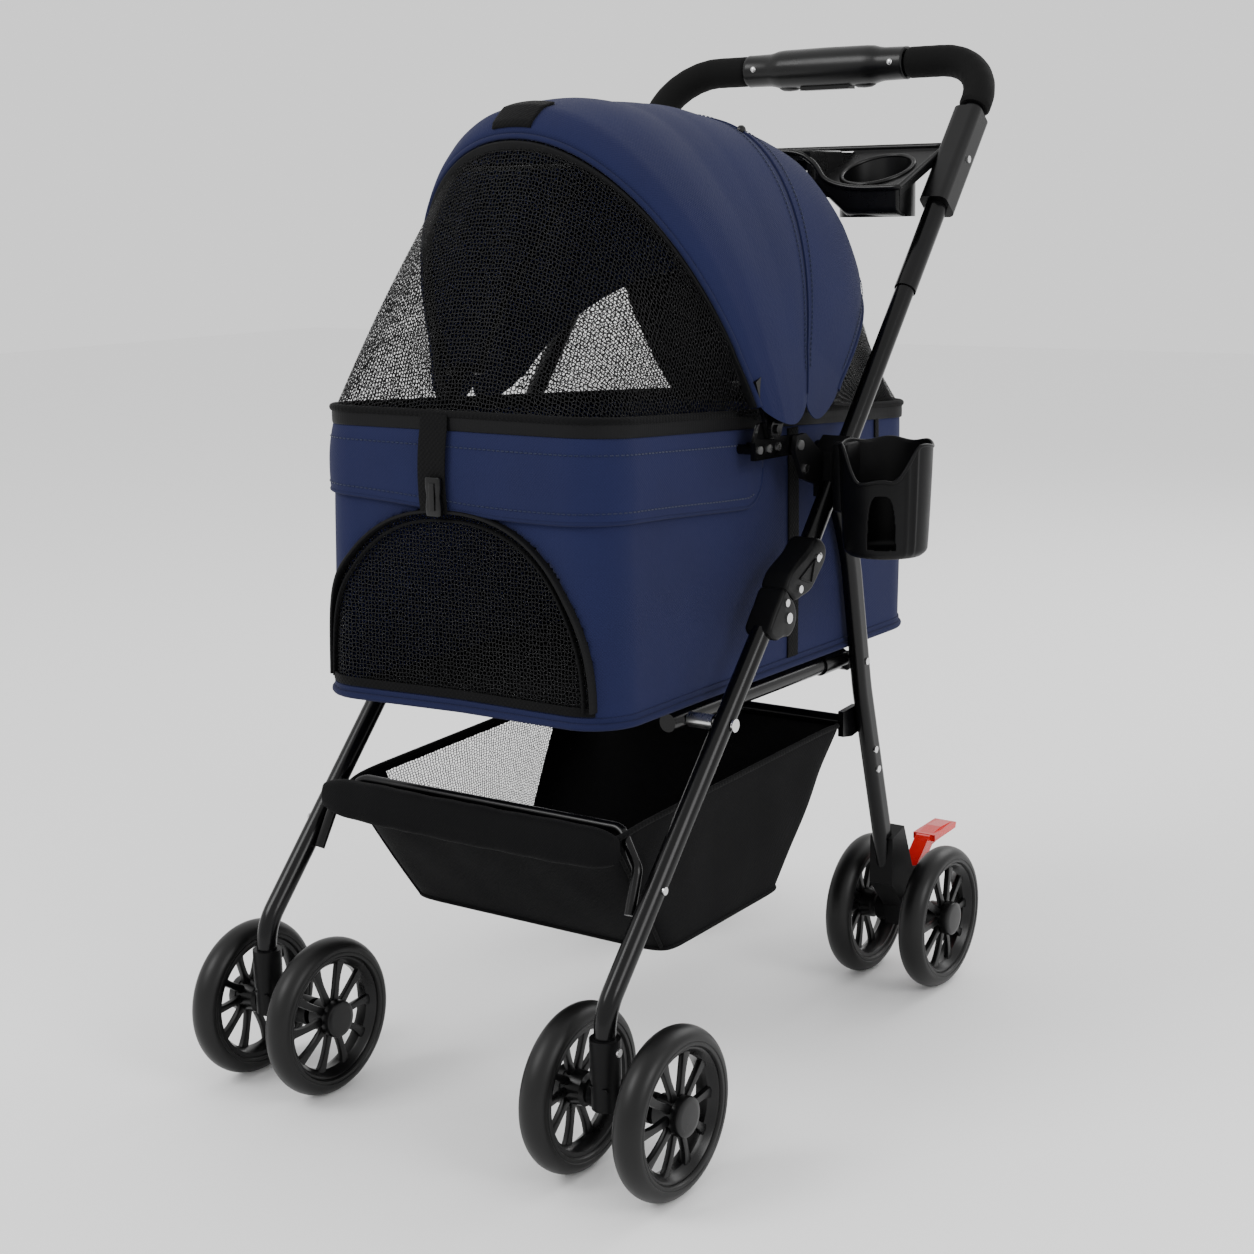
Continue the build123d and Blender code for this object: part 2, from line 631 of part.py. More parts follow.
def canopy_block(inset):
    """Solid dome of the canopy, pulled in by an inset."""
    middle = (CABIN_FRONT + CABIN_REAR) / 2
    half_l = (CABIN_REAR - CABIN_FRONT) / 2 - inset
    front_half = arch_points(half_l, CANOPY_HEIGHT - inset, 3.0, 8)
    foot = CANOPY_PIVOT[1]
    side = [(middle - a, foot + b) for a, b in front_half]
    side += [(y - inset, z - inset) for y, z in CANOPY_REAR]
    side = [(middle - half_l, foot - 40), *side, (CABIN_REAR - inset, foot - 40)]
    front = arch_outline(CANOPY_HALF_W - inset, CANOPY_HEIGHT - inset, 2.3, 0, CANOPY_PIVOT[1])
    plane = Plane(origin=(0, 0, 0), x_dir=(1, 0, 0), z_dir=(0, -1, 0))
    dome = side_plate(side, -CANOPY_HALF_W, CANOPY_HALF_W)
    return dome & extrude(plane * Polygon(*front, align=None), 800, both=True)


def rib_point(lean, up, across):
    """Point in the plane of a canopy rib, from its pivot."""
    a = math.radians(lean)
    return (across, CANOPY_PIVOT[0] - up * math.sin(a), CANOPY_PIVOT[1] + up * math.cos(a))


PEG_UP = 46.0
HOOP_FOOT_X = 167.0


def canopy():
    """Canopy shell over the cabin, open underneath."""
    shell = (canopy_block(0) - canopy_block(FABRIC)) & above_rim(0.6)
    for lean in (FRONT_RIB_LEAN, REAR_RIB_LEAN):
        _, y, z = rib_point(lean, PEG_UP, 0)
        shell -= rod(6.5, -200, 200, (y, z))
    return shell


def canopy_rib(lean, reach, x0, x1):
    """Sprung hoop of the canopy with a collar, a peg and an arm at each foot."""
    fractions = [(0.40, 0.945), (0.72, 0.76), (0.93, 0.43)]
    half = [rib_point(lean, PEG_UP, HOOP_FOOT_X)]
    half += [rib_point(lean, f * reach, g * (CANOPY_HALF_W - 9)) for f, g in fractions]
    points = half + [(-x, y, z) for x, y, z in reversed(half)]
    hoop = solid_along(FilletPolyline(*points, radius=34), RIB_R)
    _, y, z = rib_point(lean, PEG_UP, 0)
    peg = rod(RIB_R, HOOP_FOOT_X, x1, (y, z)) + rod(5.0, HOOP_FOOT_X - 5, HOOP_FOOT_X + 5, (y, z))
    py, pz = CANOPY_PIVOT
    a = math.radians(lean)
    along = (-math.sin(a), math.cos(a))
    beside = (math.cos(a), math.sin(a))
    corners = [(-4, -9), (-4, 9), (PEG_UP + 6, 6), (PEG_UP + 6, -6)]
    outline = [(py + s * along[0] + t * beside[0], pz + s * along[1] + t * beside[1]) for s, t in corners]
    arm = side_plate(outline, x0, x1) + rod(9.5, x0, x1, CANOPY_PIVOT)
    arm -= rod(PIN_R + RUNNING_GAP, x0 - 5, x1 + 5, CANOPY_PIVOT)
    foot = peg + arm
    return foot + hoop + mirror(foot, about=Plane.YZ)


def rim_plate():
    """Steel plate riveted to the side of the cabin rim; it carries the canopy ribs."""
    y, z = RIM_PIVOT
    outline = [(y - 68, z - 8), (y - 68, z + 8), (y - 60, z + 24), (y - 34, z + 26),
               (y - 26, z + 10), (y + 2, z + 9), (y + 10, z), (y + 2, z - 9)]
    body = side_plate(outline, 179.0, 184.0) + rod(9.0, 179.0, 184.0, RIM_PIVOT)
    for dy in (-60, -44, -28):
        body += rod(4.5, CABIN_HALF_W + 0.2, 180, (y + dy, z + 1))
    body += rod(PIN_R, 183.0, 195.0, CANOPY_PIVOT)
    return body - rod(PIN_R + RUNNING_GAP, 170, 190, RIM_PIVOT)


def buckle():
    """Side-release buckle on the front closing strap."""
    return Pos(-25, CABIN_FRONT - 4.4, 586) * Box(26, 7, 34)


# ---- rivets ----
def front_rivets():
    """Rivet heads on the front legs and their fittings."""
    out = LEG_X + TUBE_R
    shapes = [rivet(out, out + 1.6, (front_leg_y(248) - 1, 248)),
              rivet(LOCK_X1, LOCK_X1 + 1.6, lock_frame(9, -12)),
              rivet(LEG_X + 13.5, LEG_X + 15.1, (STEM_Y, 130))]
    return group(mirrored(shapes))


def handle_rivets():
    """Rivet heads on the handle frame."""
    y, z = RIM_PIVOT
    shapes = [rivet(LOCK_X1, LOCK_X1 + 1.6, lock_frame(31, 0.5)),
              rivet(LOCK_X1, LOCK_X1 + 1.6, lock_frame(70, 10)),
              rivet(191.0, 192.6, RIM_PIVOT, 4.6),
              rivet(191.0, 192.6, (y + 10, z - 23), 4.2),
              rivet(LEG_X + 15, LEG_X + 16.6, (handle_y(858), 858))]
    return group(mirrored(shapes))


def rear_rivets():
    """Rivet heads on the rear legs."""
    out = REAR_LEG_X + REAR_LEG_THICK / 2
    shapes = [rivet(out, out + 1.6, at) for at in ((456, 367), (476, 271), (482, 249))]
    return group(mirrored(shapes))


def rim_rivets():
    """Rivet heads on the rim plates."""
    y, z = RIM_PIVOT
    shapes = [rivet(184.0, 185.4, (y + dy, z + 1)) for dy in (-60, -44, -28)]
    return group(mirrored(shapes))


def build():
    """Makes every piece."""
    twin_wheels("front", FRONT_HALF_TRACK, FRONT_TWIN, 0.0)
    twin_wheels("rear", REAR_LEG_X, REAR_TWIN, REAR_AXLE_Y)
    both("front_axle", axle(FRONT_HALF_TRACK, FRONT_TWIN, 0.0))
    pair("rear_axles", axle(REAR_LEG_X, REAR_TWIN, REAR_AXLE_Y))
    both("caster_fork", caster_fork())
    pair("caster_sockets", caster_socket())
    both("front_leg", front_leg())
    both("fold_lock_lower", fold_lock_lower())
    both("fold_lock_upper", fold_lock_upper())
    pair("frame_pins", group([fold_pin(), bar_pin()]))
    keep("basket_hoop", basket_hoop())
    keep("basket", basket())
    both("side_bar", side_bar())
    both("rear_leg", rear_leg())
    pair("rear_axle_housings", rear_axle_housing())
    both("brake_pedal", brake_pedal())
    keep("rear_crossbar", rear_crossbar())
    pair("lower_handle_tubes", lower_handle_tube())
    keep("grip_tube", grip_tube())
    pair("foam_grips", foam_grip())
    keep("fold_housing", fold_housing())
    keep("fold_trigger", fold_trigger())
    keep("parent_tray", parent_tray())
    both("frame_bracket", frame_bracket())
    keep("cup_holder", cup_holder())
    keep("cabin", cabin())
    keep("rim_frame", rim_frame())
    keep("base_board", base_board())
    keep("canopy", canopy())
    keep("canopy_front_rib", canopy_rib(FRONT_RIB_LEAN, FRONT_RIB_REACH, 185.0, 188.5))
    keep("canopy_rear_rib", canopy_rib(REAR_RIB_LEAN, REAR_RIB_REACH, 189.0, 192.5))
    pair("rim_plates", rim_plate())
    keep("front_buckle", buckle())
    keep("front_rivets", front_rivets())
    keep("handle_rivets", handle_rivets())
    keep("rear_rivets", rear_rivets())
    keep("rim_rivets", rim_rivets())


def write():
    """Writes each piece to its own STEP file in the part's frame."""
    os.makedirs("parts", exist_ok=True)
    for name, shape in PARTS.items():
        moved = Pos(-ORIGIN_X, -ORIGIN_Y, 0) * shape
        export_step(moved, f"parts/{name}.step")


build()
write()
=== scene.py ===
import math

import bmesh
import bpy
import numpy as np
from mathutils import Matrix, Vector


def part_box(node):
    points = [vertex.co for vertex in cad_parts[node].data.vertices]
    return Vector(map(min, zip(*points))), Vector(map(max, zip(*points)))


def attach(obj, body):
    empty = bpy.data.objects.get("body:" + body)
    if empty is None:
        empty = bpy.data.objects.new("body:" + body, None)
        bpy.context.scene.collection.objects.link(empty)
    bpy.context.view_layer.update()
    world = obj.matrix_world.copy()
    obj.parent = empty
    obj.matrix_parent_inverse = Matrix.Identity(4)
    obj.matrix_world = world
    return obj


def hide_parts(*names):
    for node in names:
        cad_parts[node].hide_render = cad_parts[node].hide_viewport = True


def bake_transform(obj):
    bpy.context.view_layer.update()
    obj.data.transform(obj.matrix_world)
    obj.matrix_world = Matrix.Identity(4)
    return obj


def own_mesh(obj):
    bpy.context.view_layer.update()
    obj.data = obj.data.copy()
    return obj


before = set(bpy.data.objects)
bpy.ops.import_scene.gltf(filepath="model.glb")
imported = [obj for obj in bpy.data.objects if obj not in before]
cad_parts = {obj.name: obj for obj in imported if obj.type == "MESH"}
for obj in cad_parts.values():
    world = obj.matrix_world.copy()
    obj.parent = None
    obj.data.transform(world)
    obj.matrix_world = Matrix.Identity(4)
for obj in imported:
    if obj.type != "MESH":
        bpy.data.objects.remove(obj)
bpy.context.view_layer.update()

# Lengths below are in millimetres from the middle of the stroller and its front axle line.
MIDDLE = (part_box("rear_crossbar")[0].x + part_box("rear_crossbar")[1].x) / 2
FRONT_AXLE = (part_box("front_outer_tyre_left")[0].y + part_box("front_outer_tyre_left")[1].y) / 2
RIM_FRONT_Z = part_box("cabin")[1].z * 1000
RIM_DROP = 32.0 / 565.0
CABIN_FRONT, CABIN_REAR = 38.0, 603.0
CABIN_HALF = (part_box("cabin")[1].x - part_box("cabin")[0].x) * 500
FLOOR_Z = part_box("cabin")[0].z * 1000
CANOPY_PIVOT = np.array([257.0, 620.0])
FRONT_LEAN, REAR_LEAN, EDGE_LEAN = 26.6, -27.0, -64.0


def place(points):
    """Millimetres in the stroller's own axes to metres in the shared frame."""
    return np.asarray(points, float) / 1000 + [MIDDLE, FRONT_AXLE, 0.0]


# ---------------------------------------------------------------- camera, lights and floor
def camera():
    """Camera at the height and angle of a person standing in front of the near corner."""
    data = bpy.data.cameras.new("view_camera")
    data.lens, data.sensor_width = 59.19, 36.0
    data.clip_end = 50
    obj = bpy.data.objects.new("view_camera", data)
    bpy.context.scene.collection.objects.link(obj)
    yaw, pitch, roll = (math.radians(a) for a in (35.11, 11.64, -0.94))
    ahead = Vector((-math.sin(yaw) * math.cos(pitch), math.cos(yaw) * math.cos(pitch), -math.sin(pitch)))
    right = ahead.cross(Vector((0, 0, 1))).normalized()
    up = right.cross(ahead)
    across = right * math.cos(roll) + up * math.sin(roll)
    upward = up * math.cos(roll) - right * math.sin(roll)
    turn = Matrix((across, upward, -ahead)).transposed().to_4x4()
    obj.matrix_world = Matrix.Translation(place((1142.0, -1331.9, 821.4))) @ turn
    bpy.context.scene.camera = obj


def area_light(name, spot, size, power, aim=(0.0, 0.0, 0.45)):
    """Square soft light at a spot, turned to an aim point."""
    data = bpy.data.lights.new(name, "AREA")
    data.energy, data.size = power, size
    obj = bpy.data.objects.new(name, data)
    obj.location = spot
    obj.rotation_euler = (Vector(aim) - Vector(spot)).to_track_quat("-Z", "Y").to_euler()
    bpy.context.scene.collection.objects.link(obj)


def studio():
    """White surroundings, three soft lights and a pale floor."""
    world = bpy.data.worlds.new("studio")
    world.use_nodes = True
    world.node_tree.nodes["Background"].inputs["Color"].default_value = (1, 1, 1, 1)
    world.node_tree.nodes["Background"].inputs["Strength"].default_value = 1.15
    bpy.context.scene.world = world
    area_light("key_light", (-1.6, -2.6, 3.0), 1.6, 75)
    area_light("side_light", (3.0, -0.6, 2.0), 1.4, 42)
    area_light("back_light", (0.6, 3.0, 2.4), 1.8, 40)
    mesh = bpy.data.meshes.new("floor")
    mesh.from_pydata([(-9, -9, 0), (9, -9, 0), (9, 9, 0), (-9, 9, 0)], [], [(0, 1, 2, 3)])
    floor = bpy.data.objects.new("floor", mesh)
    bpy.context.scene.collection.objects.link(floor)
    tone = bpy.data.materials.new("pale_floor")
    tone.use_nodes = True
    shader = tone.node_tree.nodes["Principled BSDF"]
    shader.inputs["Base Color"].default_value = (0.93, 0.93, 0.93, 1)
    shader.inputs["Roughness"].default_value = 0.6
    mesh.materials.append(tone)


# ---------------------------------------------------------------- shader groups
def add(tree, kind, settings=None, **inputs):
    """New node with its settings, and each named input set to a value or joined to a socket."""
    node = tree.nodes.new(kind)
    for key, value in (settings or {}).items():
        setattr(node, key, value)
    for key, value in inputs.items():
        socket = node.inputs[int(key[1:])] if key[0] == "i" and key[1:].isdigit() else node.inputs[key.replace("_", " ")]
        if isinstance(value, bpy.types.NodeSocket):
            tree.links.new(value, socket)
        else:
            socket.default_value = value
    return node


def maths(tree, operation, a, b=0.0, c=0.0):
    """One Math node; returns its result."""
    return add(tree, "ShaderNodeMath", {"operation": operation}, i0=a, i1=b, i2=c).outputs[0]


def shader_group(name, inputs, outputs):
    """Empty node group with float or vector inputs and float outputs; returns it and its two ends."""
    tree = bpy.data.node_groups.new(name, "ShaderNodeTree")
    for label, default in inputs:
        kind = "NodeSocketVector" if default is None else "NodeSocketFloat"
        made = tree.interface.new_socket(name=label, in_out="INPUT", socket_type=kind)
        if default is not None:
            made.default_value = default
    for label in outputs:
        tree.interface.new_socket(name=label, in_out="OUTPUT", socket_type="NodeSocketFloat")
    return tree, tree.nodes.new("NodeGroupInput").outputs, tree.nodes.new("NodeGroupOutput").inputs


def weave_group():
    """Plain weave: height is the product of two sine waves, tone is slow noise for uneven dye."""
    tree, given, result = shader_group(
        "woven_threads", [("Vector", None), ("Threads", 700.0), ("Drift", 9.0)], ["Height", "Tone"])
    split = add(tree, "ShaderNodeSeparateXYZ", Vector=given["Vector"])
    turns = maths(tree, "MULTIPLY", given["Threads"], math.pi)
    warp = maths(tree, "SINE", maths(tree, "MULTIPLY", split.outputs[0], turns))
    weft = maths(tree, "SINE", maths(tree, "MULTIPLY", split.outputs[1], turns))
    product = maths(tree, "MULTIPLY", warp, weft)
    slub = add(tree, "ShaderNodeTexNoise", Vector=given["Vector"], Scale=260.0, Detail=2.0).outputs[0]
    height = maths(tree, "MULTIPLY_ADD", product, 0.35, slub)
    cloud = add(tree, "ShaderNodeTexNoise", Vector=given["Vector"], Scale=given["Drift"], Detail=4.0).outputs[0]
    tree.links.new(height, result["Height"])
    tree.links.new(maths(tree, "MULTIPLY_ADD", product, 0.12, cloud), result["Tone"])
    return tree


def net_group():
    """Knitted net: cover is 1 on the threads round each cell of a slightly uneven honeycomb."""
    tree, given, result = shader_group(
        "knitted_net", [("Vector", None), ("Cells", 330.0), ("Thread", 0.2)], ["Cover", "Height"])
    edge = add(tree, "ShaderNodeTexVoronoi", {"feature": "DISTANCE_TO_EDGE", "voronoi_dimensions": "2D"},
               Vector=given["Vector"], Scale=given["Cells"], Randomness=0.55).outputs["Distance"]
    cover = add(tree, "ShaderNodeMapRange", {"interpolation_type": "SMOOTHSTEP"}, Value=edge,
                i1=given["Thread"], i2=maths(tree, "ADD", given["Thread"], 0.07), i3=1.0, i4=0.0).outputs[0]
    tree.links.new(cover, result["Cover"])
    tree.links.new(maths(tree, "SUBTRACT", 0.4, edge), result["Height"])
    return tree


def grain_group():
    """Moulded grain and handling marks: height is fine noise, marks is coarse noise."""
    tree, given, result = shader_group(
        "moulded_grain", [("Vector", None), ("Fine", 1500.0), ("Coarse", 14.0)], ["Height", "Marks"])
    fine = add(tree, "ShaderNodeTexNoise", Vector=given["Vector"], Scale=given["Fine"], Detail=3.0).outputs[0]
    coarse = add(tree, "ShaderNodeTexNoise", Vector=given["Vector"], Scale=given["Coarse"], Detail=6.0,
                 Roughness=0.65).outputs[0]
    tree.links.new(fine, result["Height"])
    tree.links.new(coarse, result["Marks"])
    return tree


GROUPS = {"weave": weave_group(), "net": net_group(), "grain": grain_group()}


def place_group(tree, name, **inputs):
    """One of the shared groups inside a material."""
    node = tree.nodes.new("ShaderNodeGroup")
    node.node_tree = GROUPS[name]
    for key, value in inputs.items():
        if isinstance(value, bpy.types.NodeSocket):
            tree.links.new(value, node.inputs[key])
        else:
            node.inputs[key].default_value = value
    return node.outputs


def finish_material(name, **constants):
    """New material with constants set on the Principled shader; returns it, its tree and the shader."""
    made = bpy.data.materials.new(name)
    made.use_nodes = True
    shader = made.node_tree.nodes["Principled BSDF"]
    for key, value in constants.items():
        shader.inputs[key.replace("_", " ")].default_value = value
    return made, made.node_tree, shader


def tinted(tree, shader, mask, low, high):
    """Base colour that runs from low to high with a mask."""
    mix = add(tree, "ShaderNodeMix", {"data_type": "RGBA"})
    mix.inputs["A"].default_value = (*low, 1)
    mix.inputs["B"].default_value = (*high, 1)
    tree.links.new(mask, mix.inputs["Factor"])
    tree.links.new(mix.outputs["Result"], shader.inputs["Base Color"])


def roughened(tree, shader, mask, low, high):
    """Roughness that runs from low to high with a mask."""
    span = add(tree, "ShaderNodeMapRange", Value=mask, i1=0.3, i2=0.7, i3=low, i4=high)
    tree.links.new(span.outputs[0], shader.inputs["Roughness"])


def bumped(tree, shader, height, strength, depth):
    """Bump from a height."""
    bump = add(tree, "ShaderNodeBump", Strength=strength, Distance=depth, Height=height)
    tree.links.new(bump.outputs[0], shader.inputs["Normal"])


def cloth(name, low, high, threads=700.0, sheen=0.25, depth=0.0006, rough=(0.75, 0.9)):
    """Woven cloth whose threads follow the piece's own map."""
    made, tree, shader = finish_material(name, Sheen_Weight=sheen, Sheen_Roughness=0.5, Specular_IOR_Level=0.08)
    where = add(tree, "ShaderNodeTexCoord").outputs["UV"]
    woven = place_group(tree, "weave", Vector=where, Threads=threads)
    tinted(tree, shader, woven["Tone"], low, high)
    roughened(tree, shader, woven["Tone"], *rough)
    bumped(tree, shader, woven["Height"], 0.5, depth)
    return made


def netting(name, low, high, cells=270.0, thread=0.09):
    """See-through knitted net."""
    made, tree, shader = finish_material(name, Specular_IOR_Level=0.12)
    where = add(tree, "ShaderNodeTexCoord").outputs["UV"]
    net = place_group(tree, "net", Vector=where, Cells=cells, Thread=thread)
    woven = place_group(tree, "weave", Vector=where, Threads=900.0)
    tinted(tree, shader, woven["Tone"], low, high)
    roughened(tree, shader, woven["Tone"], 0.55, 0.8)
    tree.links.new(net["Cover"], shader.inputs["Alpha"])
    bumped(tree, shader, net["Height"], 0.6, 0.0008)
    return made


def zip_tape(name):
    """Zip tape: a row of teeth down the middle of the strip's own map."""
    made, tree, shader = finish_material(name, Specular_IOR_Level=0.12)
    split = add(tree, "ShaderNodeSeparateXYZ", Vector=add(tree, "ShaderNodeTexCoord").outputs["UV"])
    teeth = maths(tree, "SINE", maths(tree, "MULTIPLY", split.outputs[0], 2 * math.pi / 0.003))
    woven = place_group(tree, "weave", Vector=add(tree, "ShaderNodeTexCoord").outputs["UV"], Threads=900.0)
    tinted(tree, shader, woven["Tone"], (0.002, 0.002, 0.0024), (0.006, 0.006, 0.0065))
    roughened(tree, shader, woven["Tone"], 0.5, 0.75)
    bumped(tree, shader, maths(tree, "MULTIPLY_ADD", teeth, 0.25, woven["Height"]), 0.3, 0.0004)
    return made


def moulded(name, low, high, rough, fine=1500.0, strength=0.15, depth=0.0003, **constants):
    """Moulded, painted or foamed surface on object coordinates: fine grain and soft handling marks."""
    made, tree, shader = finish_material(name, **constants)
    where = add(tree, "ShaderNodeTexCoord").outputs["Object"]
    grain = place_group(tree, "grain", Vector=where, Fine=fine)
    tinted(tree, shader, grain["Marks"], low, high)
    roughened(tree, shader, grain["Marks"], *rough)
    bumped(tree, shader, grain["Height"], strength, depth)
    return made


NAVY = cloth("navy_polyester", (0.0080, 0.0098, 0.036), (0.0135, 0.0165, 0.056), sheen=0.04)
NAVY_HEM = cloth("navy_hem", (0.0070, 0.0088, 0.033), (0.0120, 0.0148, 0.050), threads=900.0, sheen=0.04)
BLACK_CLOTH = cloth("black_polyester", (0.0016, 0.0016, 0.0018), (0.004, 0.004, 0.0045), sheen=0.01)
WEBBING = cloth("black_webbing", (0.0018, 0.0018, 0.0018), (0.005, 0.005, 0.0055), threads=420.0, depth=0.0010, sheen=0.02)
NET = netting("black_net", (0.0022, 0.0022, 0.0026), (0.0055, 0.0055, 0.006))
GREY_NET = netting("grey_net", (0.10, 0.10, 0.105), (0.20, 0.20, 0.21), cells=330.0, thread=0.07)
THREAD = cloth("stitch_thread", (0.004, 0.008, 0.030), (0.008, 0.014, 0.045), threads=2000.0)
ZIP = zip_tape("zip_tape")
TUBE = moulded("gloss_black_tube", (0.0012, 0.0012, 0.0012), (0.0025, 0.0025, 0.003), (0.16, 0.26), strength=0.03,
               Specular_IOR_Level=0.22)
PLASTIC = moulded("black_plastic", (0.0018, 0.0018, 0.0018), (0.004, 0.004, 0.0045), (0.34, 0.48), strength=0.2,
                  Specular_IOR_Level=0.12)
SATIN = moulded("satin_black_plastic", (0.0016, 0.0016, 0.0016), (0.0036, 0.0036, 0.004), (0.24, 0.36), strength=0.08,
                Specular_IOR_Level=0.26)
TYRE = moulded("tyre_rubber", (0.0022, 0.0022, 0.0022), (0.005, 0.005, 0.005), (0.34, 0.46), strength=0.1,
               Specular_IOR_Level=0.26)
FOAM = moulded("grip_foam", (0.003, 0.003, 0.003), (0.006, 0.006, 0.006), (0.75, 0.9), fine=900.0, strength=0.5,
               depth=0.0006, Specular_IOR_Level=0.1)
STEEL = moulded("plated_steel", (0.50, 0.50, 0.50), (0.72, 0.72, 0.72), (0.18, 0.34), strength=0.05, Metallic=1.0)
RED = moulded("red_plastic", (0.55, 0.006, 0.005), (0.72, 0.012, 0.008), (0.22, 0.32), strength=0.05,
              Coat_Weight=0.25)


# ---------------------------------------------------------------- surfaces
def grid(points, close_i=False, close_j=False, chart=None):
    """Quads over a grid of points; the map holds a given chart in millimetres, or else the mean lengths along
    both directions, in metres."""
    p = np.asarray(points, float)
    n, m = p.shape[:2]
    i, j = (a.ravel() for a in np.meshgrid(
        np.arange(n if close_i else n - 1), np.arange(m if close_j else m - 1), indexing="ij"))
    quads = np.stack([i * m + j, (i + 1) % n * m + j, (i + 1) % n * m + (j + 1) % m, i * m + (j + 1) % m], 1)
    if chart is not None:
        return p.reshape(-1, 3), quads, chart.reshape(-1, 2)[quads] / 1000
    down = np.concatenate([p, p[:1]]) if close_i else p
    along = np.concatenate([p, p[:, :1]], 1) if close_j else p
    s = np.r_[0, np.cumsum(np.linalg.norm(np.diff(down, axis=0), axis=2).mean(1))] / 1000
    t = np.r_[0, np.cumsum(np.linalg.norm(np.diff(along, axis=1), axis=2).mean(0))] / 1000
    uv = np.stack([np.stack([s[i], t[j]], 1), np.stack([s[i + 1], t[j]], 1),
                   np.stack([s[i + 1], t[j + 1]], 1), np.stack([s[i], t[j + 1]], 1)], 1)
    return p.reshape(-1, 3), quads, uv


def fan(ring):
    """Triangles from a ring of points to its centre."""
    p = np.asarray(ring, float)
    n = len(p)
    k = np.arange(n)
    faces = np.stack([k, (k + 1) % n, np.full(n, n)], 1)
    verts = np.vstack([p, p.mean(0)])
    flat = (verts - verts[-1])[:, :2] / 1000
    return verts, faces, flat[faces]


def keep_faces(part, wanted):
    """The faces of a part whose centres pass a test."""
    verts, faces, uv = part
    mask = wanted(verts[faces].mean(1))
    return verts, faces[mask], uv[mask]


def piece(name, parts, material, body, outward=None, sharp=40.0, wall=0.0, side=-1.0):
    """One mesh from its parts in millimetres, merged, smoothed, given a material and put on a body.
    A closed shell has its faces turned outwards; an open sheet turns them away from the outward point,
    and gets its thickness from a wall."""
    verts, faces, uvs, start = [], [], [], 0
    for v, f, uv in parts:
        verts.append(v)
        faces += (f + start).tolist()
        uvs.append(uv.reshape(-1, 2))
        start += len(v)
    mesh = bpy.data.meshes.new(name)
    mesh.from_pydata(place(np.vstack(verts)).tolist(), [], faces)
    mesh.uv_layers.new(name="cloth_map").data.foreach_set("uv", np.vstack(uvs).astype(np.float32).ravel())
    work = bmesh.new()
    work.from_mesh(mesh)
    bmesh.ops.remove_doubles(work, verts=work.verts, dist=2e-5)
    loose = [v for v in work.verts if not v.link_faces]
    bmesh.ops.delete(work, geom=loose, context="VERTS")
    bmesh.ops.recalc_face_normals(work, faces=work.faces)
    if outward is not None:
        away = Vector(place(outward))
        total = sum((f.calc_center_median() - away).dot(f.normal) * f.calc_area() for f in work.faces)
        if total < 0:
            bmesh.ops.reverse_faces(work, faces=work.faces)
    work.to_mesh(mesh)
    work.free()
    mesh.polygons.foreach_set("use_smooth", [True] * len(mesh.polygons))
    mesh.set_sharp_from_angle(angle=math.radians(sharp))
    mesh.materials.append(material)
    obj = bpy.data.objects.new(name, mesh)
    bpy.context.scene.collection.objects.link(obj)
    if wall:
        solid = obj.modifiers.new("wall", "SOLIDIFY")
        solid.thickness, solid.offset = wall / 1000, side
    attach(obj, body)
    return obj


def unit(v):
    """Vectors scaled to length one."""
    return v / np.maximum(np.linalg.norm(v, axis=-1, keepdims=True), 1e-9)


def circle(radius, count=14):
    """Round section."""
    a = np.linspace(0, 2 * math.pi, count, endpoint=False)
    return np.stack([radius * np.cos(a), radius * np.sin(a)], 1)


def pad_section(width, height, count=20, power=4.0):
    """Flattened section with round corners: a superellipse."""
    a = np.linspace(0, 2 * math.pi, count, endpoint=False)
    c, s = np.cos(a), np.sin(a)
    return np.stack([width / 2 * np.sign(c) * abs(c) ** (2 / power),
                     height / 2 * np.sign(s) * abs(s) ** (2 / power)], 1)


def swept(path, section, up=(0, 0, 1), close=False, scale=None):
    """A section carried along a path: its first axis points sideways, its second towards up.
    Returns the side wall and, on an open path, the two ends."""
    path = np.asarray(path, float)
    ahead = unit(np.roll(path, -1, 0) - np.roll(path, 1, 0)) if close else unit(np.gradient(path, axis=0))
    across = unit(np.cross(ahead, np.broadcast_to(np.asarray(up, float), path.shape)))
    lift = np.cross(across, ahead)
    size = np.ones(len(path)) if scale is None else scale
    points = (path[:, None] + section[None, :, :1] * (across * size[:, None])[:, None]
              + section[None, :, 1:] * (lift * size[:, None])[:, None])
    parts = [grid(points, close_i=close, close_j=True)]
    return parts if close else parts + [fan(points[0]), fan(points[-1])]


def lathe(profile, x, y, z, count=96):
    """A closed profile of (along X, radius) turned about a line along X."""
    a = np.linspace(0, 2 * math.pi, count, endpoint=False)[:, None]
    px, pr = np.asarray(profile, float).T
    points = np.stack([np.broadcast_to(x + px, (count, len(px))), y + pr * np.cos(a), z + pr * np.sin(a)], 2)
    return grid(points, close_i=True, close_j=True)


def smooth_path(points, count, close=False):
    """Points resampled along a Catmull-Rom curve."""
    p = np.asarray(points, float)
    ext = np.vstack([p[-1:], p, p[:2]]) if close else np.vstack([2 * p[0] - p[1], p, 2 * p[-1] - p[-2]])
    n = len(ext) - 3
    u = np.linspace(0, n, count, endpoint=not close) if close else np.linspace(0, n, count)
    k = np.minimum(u.astype(int), n - 1)
    f = (u - k)[:, None]
    a, b, c, d = ext[k], ext[k + 1], ext[k + 2], ext[k + 3]
    return 0.5 * (2 * b + (c - a) * f + (2 * a - 5 * b + 4 * c - d) * f ** 2 + (3 * b - a - 3 * c + d) * f ** 3)


